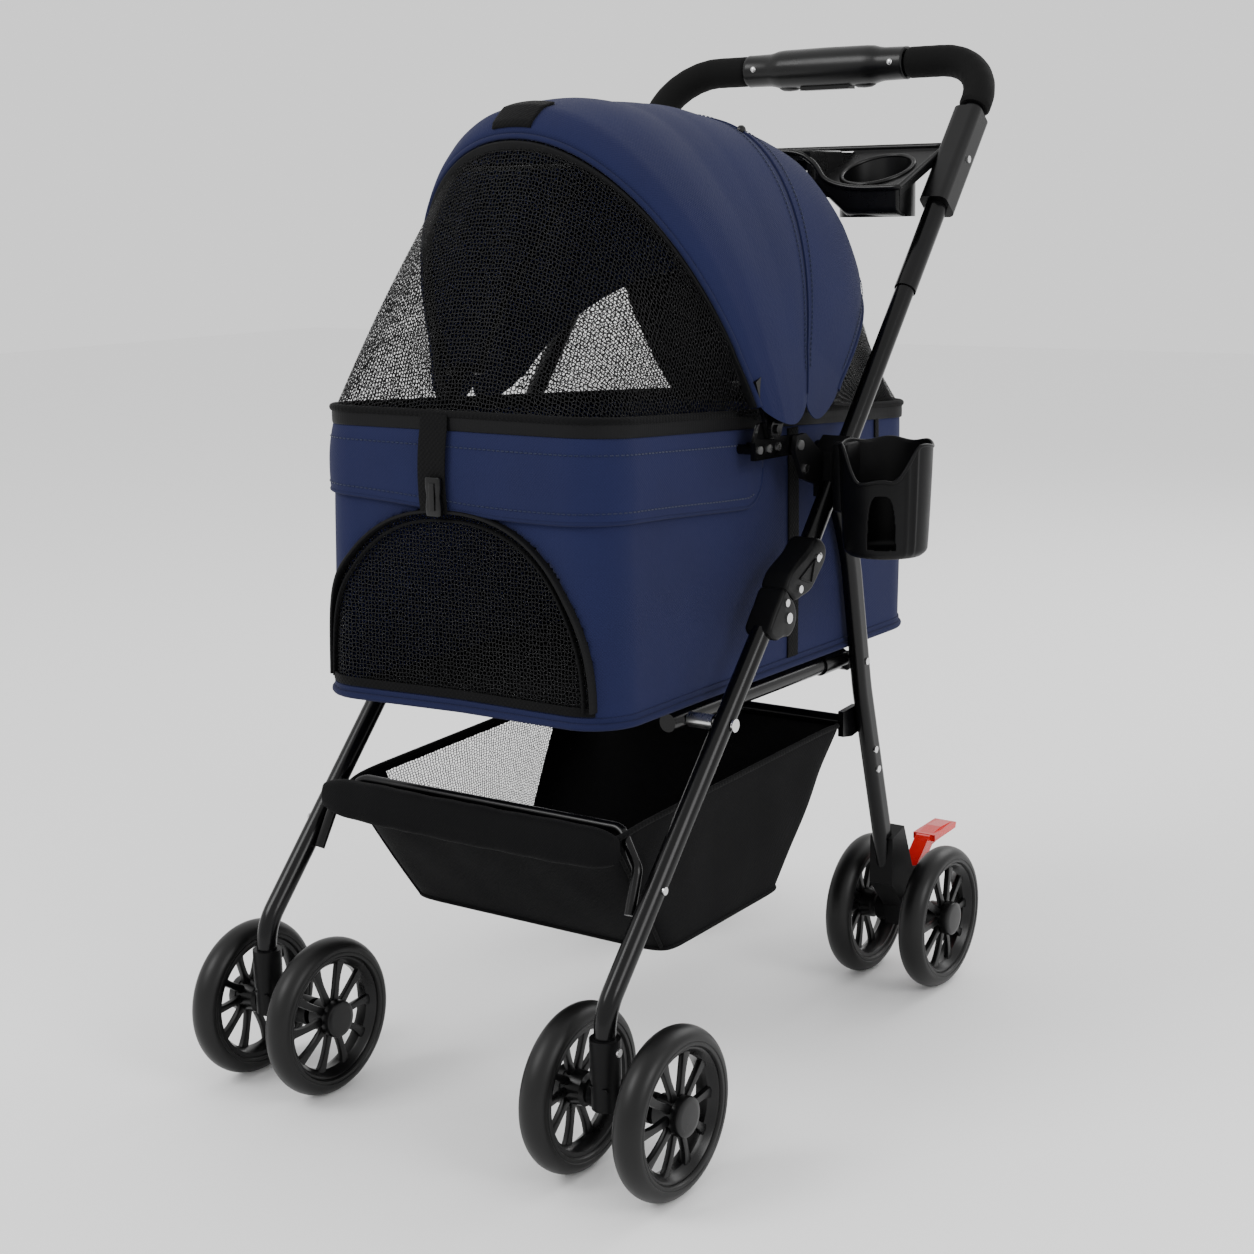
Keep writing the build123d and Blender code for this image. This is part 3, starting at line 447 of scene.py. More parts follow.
def even_path(path, spacing):
    """A path resampled at an even spacing."""
    gap = np.r_[0, np.cumsum(np.linalg.norm(np.diff(path, axis=0), axis=1))]
    where = np.linspace(0, gap[-1], max(2, int(gap[-1] / spacing)))
    return np.stack([np.interp(where, gap, path[:, k]) for k in range(3)], 1)


def stitches(name, path, body, material=THREAD, pitch=5.0, length=3.2, radius=0.55):
    """A row of stitches: short eight-cornered dashes along a path."""
    at = even_path(np.asarray(path, float), pitch)
    ahead = unit(np.gradient(at, axis=0))
    across = unit(np.cross(ahead, [0.13, 0.21, 0.97]))
    lift = np.cross(across, ahead)
    a = np.arange(6) * math.pi / 3
    ring = radius * (np.cos(a)[None, :, None] * across[:, None] + np.sin(a)[None, :, None] * lift[:, None])
    low = at[:, None] - ahead[:, None] * length / 2 + ring
    high = at[:, None] + ahead[:, None] * length / 2 + ring
    verts = np.concatenate([low, high], 1).reshape(-1, 3)
    k = np.arange(6)
    sides = np.stack([k, (k + 1) % 6, (k + 1) % 6 + 6, k + 6], 1)
    ends = np.array([[0, 3, 2, 1], [0, 5, 4, 3], [6, 7, 8, 9], [6, 9, 10, 11]])
    one = np.vstack([sides, ends])
    faces = (one[None] + 12 * np.arange(len(at))[:, None, None]).reshape(-1, 4)
    uv = np.zeros((len(faces), 4, 2))
    uv[:, :, 0] = np.arange(len(faces))[:, None] * 0.001
    return piece(name, [(verts, faces, uv)], material, body)


def ripple(points, size, seed, reach=90.0):
    """Smooth unevenness: a sum of six seeded plane waves of the given size at each point."""
    rng = np.random.default_rng(seed)
    way = unit(rng.normal(size=(6, 3)))
    length = reach * rng.uniform(0.5, 1.6, 6)
    phase = rng.uniform(0, 2 * math.pi, 6)
    waves = np.sin(points @ way.T * (2 * math.pi / length) + phase)
    return size * waves.mean(-1) * 1.6


# ---------------------------------------------------------------- wheels and grips
def wheel(station, spot, side, x, y, outward):
    """Rounded tyre with two sidewall steps, and a rim with ten tapered spokes and a hub cap."""
    z, name, body = 75.0, f"{station}_{spot}", f"{station}_{spot}_wheel_{side}"
    a = np.linspace(-1.0, 1.0, 21)
    tread = np.stack([13.9 * np.sin(a * 1.35) / math.sin(1.35), 66 + 9.0 * (np.cos(a * 1.35) - 0.219) / 0.781], 1)
    wall = [(13.9, 63.5), (13.1, 62.6), (13.6, 61.6), (13.2, 59.6), (11.4, 58.2), (0, 58.05)]
    profile = np.vstack([tread, wall, [(-w, r) for w, r in wall[-2::-1]]])
    tyre = piece(f"{name}_soft_tyre_{side}", [lathe(profile, x, y, z, 128)], TYRE, body)
    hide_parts(f"{name}_tyre_{side}")
    ring = [(-11, 57.95), (11, 57.95), (11.3, 56.6), (10.2, 55.2), (6.0, 53.0), (3.5, 50.4), (-3.5, 50.4), (-11, 54.0)]
    hub = [(-12.9, 4.6), (-12.9, 12.0), (-10, 15.0), (6, 15.6), (9.5, 16.6), (12.2, 15.6), (12.9, 13.4), (11.8, 12.4),
           (11.8, 7.0), (12.6, 6.6), (12.6, 4.6)]
    cap = [(9.0, 15.0), (9.0, 17.6), (15.4, 17.8), (17.2, 17.0), (18.0, 15.6), (18.3, 12.0), (18.4, 0.05), (17.8, 0.05)]
    parts = [lathe([(outward * w, r) for w, r in ring], x, y, z, 96),
             lathe([(outward * w, r) for w, r in cap], x, y, z, 48),
             lathe([(outward * w, r) for w, r in hub], x, y, z, 48)]
    u = np.linspace(0, 1, 7)[:, None]
    radius = 15.0 + 38.0 * u
    v = np.linspace(0, 2 * math.pi, 8, endpoint=False)[None]
    half = 4.3 - 0.9 * np.sin(math.pi * u) + 1.6 * u ** 4
    for k in range(10):
        turn = 2 * math.pi * k / 10 + 0.03 * np.sin(math.pi * u)
        across = half * np.sign(np.cos(v)) * abs(np.cos(v)) ** 0.6
        depth = outward * (3.2 * np.sign(np.sin(v)) * abs(np.sin(v)) ** 0.6 + 5.0 - 2.2 * u)
        points = np.stack([x + depth + 0 * radius, y + radius * np.cos(turn) - across * np.sin(turn),
                           z + radius * np.sin(turn) + across * np.cos(turn)], 2)
        parts += [grid(points, close_j=True), fan(points[0]), fan(points[-1])]
    rim = piece(f"{name}_spoked_rim_{side}", parts, SATIN, body, sharp=35)
    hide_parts(f"{name}_rim_{side}")


def wheels():
    """Eight wheels in four pairs."""
    for side, sign in (("left", 1), ("right", -1)):
        for spot, out in (("outer", 1), ("inner", -1)):
            wheel("front", spot, side, sign * (195.0 + out * 48.0), 0.0, sign * out)
            wheel("rear", spot, side, sign * (170.0 + out * 43.0), 556.0, sign * out)


def foam_grips():
    """Foam sleeves over both corners of the push bar: a tube round the bend with slightly pressed ends."""
    for side, sign in (("left", 1), ("right", -1)):
        top_y, top_z, x, r = 687.0, 961.0, 195.0, 58.0
        slope = unit(np.array([320.0 - 687.0, 520.0 - 961.0]))
        a = np.linspace(0, math.pi / 2, 17)[:, None]
        down = np.array([0.0, slope[0], slope[1]])
        centre = np.array([x - r, top_y, top_z]) + down * r
        bend = centre + r * (np.sin(a) * [1, 0, 0] - np.cos(a) * down)
        low = np.array([x, top_y, top_z]) + down * (961.0 - 909.0) / -slope[1]
        start = np.linspace([99.0, top_y, top_z], bend[0], 14)[:-1]
        finish = np.linspace(bend[-1], low, 8)[1:]
        path = np.vstack([start, bend, finish]) * [sign, 1, 1]
        path = even_path(path, 3.0)
        t = np.linspace(0, 1, len(path))
        ends = 1 - 0.12 * np.exp(-((t / 0.012) ** 2)) - 0.12 * np.exp(-(((1 - t) / 0.012) ** 2))
        wobble = 1 + 0.008 * np.sin(t * 60) * np.sin(math.pi * t)
        parts = swept(path, circle(16.2, 28), up=(0, 0.77, -0.64), scale=ends * wobble)
        grip = piece(f"foam_sleeve_{side}", parts, FOAM, "handle_frame")
        if side == "left":
            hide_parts("foam_grips")


# ---------------------------------------------------------------- cabin
def rim_height(y):
    """Height of the cabin's top edge, which falls evenly to the rear."""
    return RIM_FRONT_Z - RIM_DROP * (y - CABIN_FRONT)


PLAN_STRAIGHT = (CABIN_HALF - 42.0, CABIN_REAR - CABIN_FRONT - 42.0 - 58.0, CABIN_HALF - 58.0)


def plan(s, outset=0.0):
    """Point (x, y) and outward direction on the cabin's plan at length s from the middle of the front,
    towards the left, for -half to half of the way round; the corners are arcs."""
    s = np.asarray(s, float)
    sign, d = np.sign(s), abs(s)
    a, b, c = PLAN_STRAIGHT
    q1, q2 = 42.0 * math.pi / 2, 58.0 * math.pi / 2
    t1 = np.clip((d - a) / 42.0, 0, math.pi / 2)
    t2 = np.clip((d - a - q1 - b) / 58.0, 0, math.pi / 2)
    x = np.minimum(d, a) + 42.0 * np.sin(t1)
    y = CABIN_FRONT + 42.0 * (1 - np.cos(t1)) + np.clip(d - a - q1, 0, b)
    x = x - 58.0 * (1 - np.cos(t2)) - np.clip(d - a - q1 - b - q2, 0, c)
    y = y + 58.0 * np.sin(t2)
    angle = t1 + t2
    nx, ny = np.sin(angle), -np.cos(angle)
    return np.stack([sign * (x + outset * nx), y + outset * ny], -1), np.stack([sign * nx, ny], -1)


HALF_LOOP = sum(PLAN_STRAIGHT) + (42.0 + 58.0) * math.pi / 2


def wall_point(s, z, outset=0.0):
    """Point on the soft cabin wall: the plan pushed out in a shallow belly, with slow unevenness."""
    s, z = np.broadcast_arrays(np.asarray(s, float), np.asarray(z, float))
    flat, way = plan(s)
    top = rim_height(flat[..., 1])
    t = np.clip((z - FLOOR_Z) / (top - FLOOR_Z), 0, 1)
    belly = 1.2 * np.sin(math.pi * t) ** 0.8
    base = np.concatenate([flat, z[..., None]], -1)
    uneven = ripple(base, 1.0, 3, 150.0) * np.sin(math.pi * t) ** 0.7
    tuck = -3.0 * np.clip(1 - (z - FLOOR_Z) / 7.0, 0, 1) ** 2
    ahead = np.clip((190.0 - flat[..., 1]) / 150.0, 0, 1)
    far = np.clip(-flat[..., 0] / 130.0, 0, 1)
    tuck = tuck + (4.0 + 8.0 * (1 - t) ** 1.5) * ahead * far + 2.0 * (1 - t) ** 2 * ahead
    return base + np.concatenate([way, np.zeros_like(way[..., :1])], -1) * (belly + uneven + tuck + outset)[..., None]


WINDOW_MID, WINDOW_HALF, WINDOW_LOW, WINDOW_HIGH = -6.0, 147.0, 397.0, 164.0


def window_top(s, shrink=0.0):
    """Height of the arched door's edge at length s, pulled in by shrink."""
    part = np.clip(1 - (abs(s - WINDOW_MID) / (WINDOW_HALF - shrink)) ** 2.3, 0, 1)
    return WINDOW_LOW + (WINDOW_HIGH - shrink) * part ** (1 / 2.3)


def loop_path(z_of, outset, low=-HALF_LOOP, high=HALF_LOOP, count=260):
    """Path round the cabin wall at a height, from low to high length."""
    s = np.linspace(low, high, count)
    flat, _ = plan(s)
    return wall_point(s, z_of(flat[:, 1]), outset)


def soft_cabin(obj):
    """A piece of the cabin gets a mesh of its own."""
    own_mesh(obj)
    return obj


def cabin():
    """Cabin walls and floor as one sheet, with the arched door cut out at the front."""
    s = np.linspace(-HALF_LOOP, HALF_LOOP, 480, endpoint=False)
    flat, _ = plan(s)
    t = np.linspace(0, 1, 66)
    top = rim_height(flat[:, 1])[:, None]
    z = FLOOR_Z + 1.0 + (top - FLOOR_Z - 1.0) * t[None]
    walls = wall_point(s[:, None], z)
    inner = []
    for inset in (120.0, 60.0, 20.0):
        ring, _ = plan(s, -4.0)
        centre = np.array([0.0, (CABIN_FRONT + CABIN_REAR) / 2])
        shrunk = centre + (ring - centre) * (1 - inset / CABIN_HALF)
        inner.append(np.c_[shrunk, np.full(len(s), FLOOR_Z + 1.0)][:, None])
    points = np.concatenate([*inner, walls], 1)

    def outside_door(c):
        front = c[:, 1] < 130
        reach = np.where(c[:, 0] > 0, 1.0, -1.0) * np.where(
            abs(c[:, 0]) < PLAN_STRAIGHT[0] + 1, abs(c[:, 0]),
            PLAN_STRAIGHT[0] + 42.0 * np.arctan2(abs(c[:, 0]) - PLAN_STRAIGHT[0], CABIN_FRONT + 42.0 - c[:, 1]))
        return ~(front & (c[:, 2] > WINDOW_LOW) & (c[:, 2] < window_top(reach)) & (abs(reach - WINDOW_MID) < WINDOW_HALF))

    shell = keep_faces(grid(points, close_i=True), outside_door)
    body = piece("cabin_cover", [shell, fan(points[:, 0])], NAVY, "carrier", outward=(0, 320, 500), wall=1.4, sharp=60)
    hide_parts("cabin")
    s = np.linspace(-1, 1, 120)
    reach = WINDOW_MID + WINDOW_HALF * s
    t = np.linspace(0, 1, 50)
    z = WINDOW_LOW - 3 + (window_top(reach, -2.0)[:, None] - WINDOW_LOW + 3) * t[None]
    net = wall_point(reach[:, None], z, -0.8)
    chart = np.stack(np.broadcast_arrays(reach[:, None], z), 2)
    door = piece("door_net", [grid(net, chart=chart)], NET, "carrier", outward=(0, 320, 500), wall=0.5)
    arch = []
    for shrink in (1.0, 9.0):
        a = np.linspace(0, math.pi, 160)
        c, q = np.cos(a), np.sin(a)
        reach = WINDOW_MID - (WINDOW_HALF - shrink) * np.sign(c) * abs(c) ** (2 / 2.3)
        z = WINDOW_LOW + (WINDOW_HIGH - shrink) * q ** (2 / 2.3)
        path = wall_point(reach, z, 1.2)
        arch.append(even_path(path, 3.0))
    outer = piece("door_zip", swept(arch[0], pad_section(3.4, 12.0), up=(0, -1, 0.02)), ZIP, "carrier")
    inner_band = piece("door_zip_inner", swept(arch[1], pad_section(2.6, 5.0), up=(0, -1, 0.02)), WEBBING, "carrier")
    sill = piece("door_sill", swept(wall_point(np.linspace(WINDOW_MID - WINDOW_HALF, WINDOW_MID + WINDOW_HALF, 90),
                                               WINDOW_LOW, 0.8), pad_section(2.4, 8.0)), WEBBING, "carrier")
    low_piping = piece("bottom_piping", swept(loop_path(lambda y: FLOOR_Z + 4.0 + 0 * y, 1.4)[:-1], circle(3.2),
                                              close=True), NAVY_HEM, "carrier")
    low_band = piece("bottom_binding", swept(loop_path(lambda y: FLOOR_Z + 9.5 + 0 * y, 0.6)[:-1], pad_section(1.6, 5.0),
                                             close=True), NAVY_HEM, "carrier")
    rim_band = piece("rim_zip", swept(loop_path(lambda y: rim_height(y) - 9.0, 1.2)[:-1], pad_section(2.6, 13.0),
                                      close=True), ZIP, "carrier")
    rim_roll = piece("rim_piping", swept(loop_path(lambda y: rim_height(y) - 1.0, 1.2)[:-1], circle(3.4), close=True),
                     WEBBING, "carrier")
    for part in (door, outer, inner_band, sill, low_piping, low_band, rim_band, rim_roll):
        soft_cabin(part)
    soft_cabin(body)
    for name, s_at, width, low, high in (("side_strap_left", 341.0, 19.0, 392.0, 612.0),
                                         ("side_strap_right", 341.0, 19.0, 392.0, 612.0),
                                         ("rear_loop_left", 507.0, 8.0, 586.0, 612.0)):
        sign = 1 if name.endswith("left") else -1
        where = sign * (PLAN_STRAIGHT[0] + 42.0 * math.pi / 2 + s_at - CABIN_FRONT - 42.0)
        path = wall_point(where, np.linspace(low, high, 60), 1.3)
        soft_cabin(piece(name, swept(path, pad_section(1.8, width), up=(0, 1, 0)), WEBBING, "carrier"))


FLAP_END = PLAN_STRAIGHT[0] + 42.0 * math.pi / 2 + 286.0 - CABIN_FRONT - 42.0


def flap_point(s, t, lift=0.0):
    """Point on the folded flap: it hangs from under the rim zip, its lower corners are rounded,
    and it stands off the wall in a soft roll towards its lower hem."""
    flat, _ = plan(s)
    side = np.clip((abs(s) - 120) / (FLAP_END - 120), 0, 1)
    drop = 68.0 + 6.0 * np.tanh(s / 80.0) + 2.0 * np.cos(s / 60.0) - 5.0 * side
    near_end = np.clip(abs(s) - (FLAP_END - 34.0), 0, 34.0)
    drop = drop - 34.0 + np.sqrt(np.maximum(34.0 ** 2 - near_end ** 2, 0))
    top = rim_height(flat[..., 1]) - 15.0
    z = top - drop * t
    roll = 1.2 + 3.4 * np.sin(math.pi * np.clip(t, 0, 1)) ** 0.8 + 2.2 * t ** 3
    roll = roll * (0.55 + 0.45 * np.clip((FLAP_END - abs(s)) / 30.0, 0, 1))
    at = wall_point(s, z, 0.0)
    uneven = ripple(at, 1.1, 8, 110.0) * np.sin(math.pi * np.clip(t, 0, 1))
    _, way = plan(s)
    return at + np.concatenate([way, np.zeros_like(way[..., :1])], -1) * (roll + uneven + lift)[..., None]


def flap():
    """The folded door flap round the front of the cabin, its hem and its stitching."""
    s, t = np.meshgrid(np.linspace(-FLAP_END, FLAP_END, 300), np.linspace(0, 1, 30), indexing="ij")
    cover = piece("folded_flap", [grid(flap_point(s, t))], NAVY, "carrier", outward=(0, 320, 500), wall=2.0, sharp=70)
    along = np.linspace(-FLAP_END, FLAP_END, 300)
    hem = piece("flap_hem", swept(flap_point(along, np.ones(300), -0.8), circle(1.9, 12)), NAVY_HEM, "carrier")
    rows = [stitches("flap_stitch_low", flap_point(along[8:-8], np.full(284, 0.88), 0.25), "carrier"),
            stitches("flap_stitch_high", flap_point(along[8:-8], np.full(284, 0.20), 0.25), "carrier")]
    for part in (cover, hem, *rows):
        soft_cabin(part)
    t = np.linspace(-0.2, 1.06, 60)
    strap = flap_point(np.full(60, -19.0), t, 2.6)
    strap[:, 1] -= 1.5 * np.sin(np.linspace(0, math.pi, 60))
    web = piece("front_strap", swept(strap, pad_section(31.0, 1.8), up=(0, -1, 0)), WEBBING, "carrier")
    y, z = float(strap[46, 1]) - 3.4, 574.0
    block = swept(np.array([[-14.0, y, z + d] for d in (-17, -16, -9, 0, 9, 16, 17)]), pad_section(17.0, 5.5, 28, 5),
                  up=(0, -1, 0), scale=np.array([0.86, 0.97, 1, 0.86, 1, 0.97, 0.86]))
    fork = swept(np.array([[-14.0, y - 3.2, z + d] for d in (-12, -11, 0, 11, 12)]), pad_section(6.0, 1.4, 20, 5),
                 up=(0, -1, 0))
    buckle = piece("strap_buckle", block + fork, SATIN, "carrier", sharp=30)
    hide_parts("front_buckle")
    for part in (web, buckle):
        soft_cabin(part)


# ---------------------------------------------------------------- canopy
LEANS = np.array([26.6, 25.0, 21.0, 11.0, 0.0, -10.0, -20.0, -27.0, -40.0, -50.0, -58.0, -64.0])
REACHES = np.array([291.0, 299.0, 305.0, 300.0, 294.0, 297.0, 307.0, 316.0, 334.0, 331.0, 322.0, 314.0])
WIDTHS = np.array([183.0, 185.0, 188.0, 192.0, 193.0, 193.0, 193.0, 192.0, 191.0, 190.0, 189.0, 188.0])
POWERS = np.array([2.06, 2.08, 2.1, 2.1, 2.1, 2.12, 2.16, 2.2, 2.45, 2.75, 3.0, 3.0])


def canopy_point(lean, across, shrink=0.0):
    """Point on the canopy: a superellipse hoop of angle across (0 left foot, pi right foot) in a plane that
    leans about the canopy pivot; the feet of the rear hoops stand further back, and the cloth dips
    a little between the two sprung hoops."""
    lean, across = np.broadcast_arrays(np.asarray(lean, float), np.asarray(across, float))
    reach = np.interp(-lean, -LEANS, REACHES) - shrink
    width = np.interp(-lean, -LEANS, WIDTHS) - shrink
    power = np.interp(-lean, -LEANS, POWERS)
    c, q = np.cos(across), np.clip(np.sin(across), 0, 1)
    x = width * np.sign(c) * abs(c) ** (2 / power)
    up = reach * q ** (2 / power)
    back = np.interp(-lean, [-FRONT_LEAN, -REAR_LEAN, -EDGE_LEAN], [-3.0, 42.0, 92.0])
    ahead = 10.0 * np.clip(1 - up / 85.0, 0, 1) * np.clip(lean / FRONT_LEAN, 0, 1)
    foot_y = CANOPY_PIVOT[0] + back * (1 - up / reach) ** 1.6 - ahead
    flare = np.clip(1 - up / 75.0, 0, 1) * np.interp(-lean, [-FRONT_LEAN, 0, 30], [9.0, 7.0, 6.0])
    x = x + np.sign(c) * flare
    a = np.radians(lean)
    between = np.sin(math.pi * np.clip((FRONT_LEAN - lean) / (FRONT_LEAN - REAR_LEAN), 0, 1))
    behind = np.sin(math.pi * np.clip((REAR_LEAN - lean) / (REAR_LEAN - EDGE_LEAN), 0, 1))
    dip = 5.0 * np.sin(across) ** 0.7 * np.clip(abs(c) * 1.7, 0, 1) * (between - 0.6 * behind)
    up = up - dip
    at = np.stack([x, foot_y - up * np.sin(a), CANOPY_PIVOT[1] + up * np.cos(a)], -1)
    swell = ripple(at, 1.6, 21, 170.0) * np.sin(across) ** 0.6 * (0.3 + between + behind)
    out = unit(at - np.array([0, CANOPY_PIVOT[0] + 60, CANOPY_PIVOT[1] + 60]))
    return at + out * swell[..., None]


def sector(low, high, reach):
    """Two points either side of the plane half way between two leans, at a reach from the pivot."""
    middle = math.radians((low + high) / 2)
    half = reach * math.sin(math.radians(abs(high - low) / 2))
    way = np.array([0.0, math.cos(middle), math.sin(middle)])
    centre = np.array([0.0, *CANOPY_PIVOT])
    return tuple(place(centre + way * half)), tuple(place(centre - way * half))


def foot_angle(lean, low):
    """Angle on a hoop at which its cloth stands at a height."""
    up = max(low - CANOPY_PIVOT[1], 0.0) / math.cos(math.radians(lean))
    reach = np.interp(-lean, -LEANS, REACHES)
    power = np.interp(-lean, -LEANS, POWERS)
    return math.asin(min(1.0, (up / reach) ** (power / 2)))


def canopy():
    """Canopy cover in two joined runs of one curved sheet, cut into round lobes at its feet."""
    spread = 0.5 - 0.5 * np.cos(np.linspace(0, math.pi, 150))
    runs = {"canopy_front_cover": (FRONT_LEAN, REAR_LEAN, 44), "canopy_rear_cover": (REAR_LEAN, EDGE_LEAN, 30)}
    made = {}
    for name, (lead, last, count) in runs.items():
        lean = np.linspace(lead, last, count)
        low = 641.0 - 18.0 * np.sin(math.pi * np.linspace(0, 1, count)) ** 0.6
        cut = np.array([foot_angle(a, b) for a, b in zip(lean, low)])[:, None]
        points = canopy_point(lean[:, None], cut + (math.pi - 2 * cut) * spread[None])
        made[name] = piece(name, [grid(points)], NAVY, "carrier", outward=(0, 330, 700), wall=1.2, sharp=70)
    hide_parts("canopy")
    start, end = sector(REAR_LEAN, FRONT_LEAN, 200.0)
    edge_start, edge_end = sector(EDGE_LEAN, REAR_LEAN, 200.0)
    front_run, rear_run = [made["canopy_front_cover"]], [made["canopy_rear_cover"]]
    foot = foot_angle(FRONT_LEAN, 642.0)
    t = np.linspace(foot, math.pi - foot, 240)
    arch = canopy_point(FRONT_LEAN, t, 1.0)
    inner = canopy_point(FRONT_LEAN + 0.9, t, 7.5)
    front_run.append(piece("canopy_front_hem", swept(arch, circle(2.6, 12), up=(0, 0.9, 0.44)), NAVY_HEM, "carrier"))
    front_run.append(piece("canopy_front_zip", swept(inner, pad_section(9.0, 4.0), up=(0, 0.9, 0.44)), ZIP, "carrier"))
    for k, lean in enumerate((-24.5,)):
        row = canopy_point(lean, t[6:-6], -0.9)
        front_run.append(stitches(f"canopy_stitch_{k}", row, "carrier"))
    for k, lean in enumerate((-29.5, -60.5)):
        row = canopy_point(lean, t[6:-6], -0.9)
        rear_run.append(stitches(f"canopy_rear_stitch_{k}", row, "carrier"))
    seam = canopy_point(REAR_LEAN, t, -0.6)
    rear_run.append(piece("canopy_seam", swept(seam, pad_section(2.6, 2.0), up=(0, 0.9, -0.45)), NAVY_HEM, "carrier"))
    edge = canopy_point(EDGE_LEAN, t, 0.3)
    rear_run.append(piece("canopy_rear_hem", swept(edge, circle(2.2, 12), up=(0, 0.44, -0.9)), NAVY_HEM, "carrier"))
    for group, first, second, a, b in ((front_run, "rear_rib", "front_rib", start, end),
                                       (rear_run, "carrier", "rear_rib", edge_start, edge_end)):
        for obj in group:
            obj.parent = None
            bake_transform(obj)
    tab()


def tab():
    """Black top tab on the front edge of the canopy: a padded strap end, and a small stud at the rear hoop."""
    lean = np.linspace(FRONT_LEAN - 0.8, 18.0, 20)
    across = np.linspace(-1, 1, 21) * 0.105 + math.pi / 2
    points = canopy_point(lean[:, None], across[None], -2.4)
    strip = piece("canopy_tab", [grid(points)], WEBBING, "carrier", outward=(0, 330, 700), wall=2.4)
    knob = [(0, 0.1), (0, 5.0), (3.0, 5.0), (4.6, 3.6), (5.0, 0.1)]
    at = canopy_point(REAR_LEAN, math.radians(70), 0)
    stud = piece("canopy_stud", [lathe(knob, float(at[0]) - 1.5, float(at[1]), float(at[2]) + 1.0, 24)], SATIN, "carrier")
    for obj, first, second, a, b in ((strip, "rear_rib", "front_rib", *sector(REAR_LEAN, FRONT_LEAN, 200.0)),
                                     (stud, "carrier", "rear_rib", *sector(EDGE_LEAN, REAR_LEAN, 200.0))):
        obj.parent = None
        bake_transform(obj)


def nets():
    """Front and rear infills: ruled surfaces from a canopy edge to the rim, with slack and gathers. The rear one
    has a solid middle panel."""
    for name, lean, top_body in (("front_net", FRONT_LEAN, "canopy_front_cover"),
                                 ("rear_net", EDGE_LEAN, "canopy_rear_cover")):
        front = name == "front_net"
        a = np.linspace(0.03, math.pi - 0.03, 190)
        top = canopy_point(lean, a, 4.0)
        if front:
            reach = np.interp(np.cos(a), [-1, -0.80, -0.45, 0, 0.45, 0.80, 1], [-345, -190, -100, 0, 100, 190, 345])
        else:
            back = np.interp(np.cos(a), [-1, -0.85, -0.4, 0, 0.4, 0.85, 1], [-250, -150, -70, 0, 70, 150, 250])
            reach = np.where(back < 0, -1, 1) * (HALF_LOOP - abs(back))
        low = wall_point(reach, rim_height(plan(reach)[0][:, 1]) - 3.0, -0.5)
        t = np.linspace(0, 1, 46)[None, :, None]
        points = top[:, None] * (1 - t) + low[:, None] * t
        out = unit(points - np.array([0.0, 300.0, 640.0]))
        slack = np.sin(math.pi * t) * (4.0 + 1.8 * np.sin(a * 23)[:, None, None])
        points = points + out * slack * (0.6 if front else -0.8)
        run = np.r_[0, np.cumsum(np.linalg.norm(np.diff(points[:, 30], axis=0), axis=1))]
        chart = np.stack(np.broadcast_arrays(run[:, None], np.linalg.norm(top - low, axis=1)[:, None] * t[..., 0]), 2)
        whole = grid(points, chart=chart)
        parts = [(name, NET, whole, 0.6)]
        if not front:
            parts = [(name, NET, keep_faces(whole, lambda c: abs(c[:, 0]) > 137), 0.3),
                     ("rear_panel", BLACK_CLOTH, keep_faces(whole, lambda c: abs(c[:, 0]) <= 137.5), 0.3)]
        for label, tone, part, length in parts:
            sheet = piece(label, [part], tone, "carrier", outward=(0, 320, 700), wall=0.4, sharp=80)
            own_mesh(sheet)


# ---------------------------------------------------------------- basket
def middle_of(name):
    """Middle of a CAD node's box in millimetres in the stroller's own axes."""
    low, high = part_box(name)
    return (np.array(low + high) / 2 - [MIDDLE, FRONT_AXLE, 0]) * 1000


HOOP_Y = (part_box("basket_hoop")[0].y - FRONT_AXLE) * 1000 + 5.0
HOOP_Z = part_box("basket_hoop")[1].z * 1000 - 5.0
BASKET_FRONT = HOOP_Y + 2.0
BASKET_REAR = middle_of("rear_crossbar")[1] - 6.0
BAR_Z = middle_of("rear_crossbar")[2] + 4.0


def basket_point(a, t):
    """Point on the basket wall: angle a round a squared superellipse, t from 0 at the top to 1 at the bottom;
    each wall is a straight loft with a soft belly."""
    front = BASKET_FRONT + (131 - BASKET_FRONT) * t
    rear = BASKET_REAR + (337 - BASKET_REAR) * t
    half = 161 - 11 * t
    c, q = np.cos(a), np.sin(a)
    power = 14.0
    x = half * np.sign(q) * abs(q) ** (2 / power)
    lean = np.sign(c) * abs(c) ** (2 / power)
    y = (front + rear) / 2 - lean * (rear - front) / 2
    z_front, z_rear = HOOP_Z + (157 - HOOP_Z) * t, BAR_Z + (161 - BAR_Z) * t
    z = z_front + (z_rear - z_front) * (1 - lean) / 2
    belly = 3.0 * np.sin(math.pi * t)
    at = np.stack([x + 0 * z, y + 0 * z, z], -1)
    sag = -5.0 * np.clip(1 - t * 3, 0, 1) * abs(np.sin(2 * a)) ** 2
    out = unit(np.stack([x / 160, -lean + 0 * x, 0 * x], -1))
    at = at + out * (belly * 0.4 + ripple(at, 2.0, 5, 120.0) * np.sin(math.pi * t))[..., None]
    at[..., 2] += sag
    return at


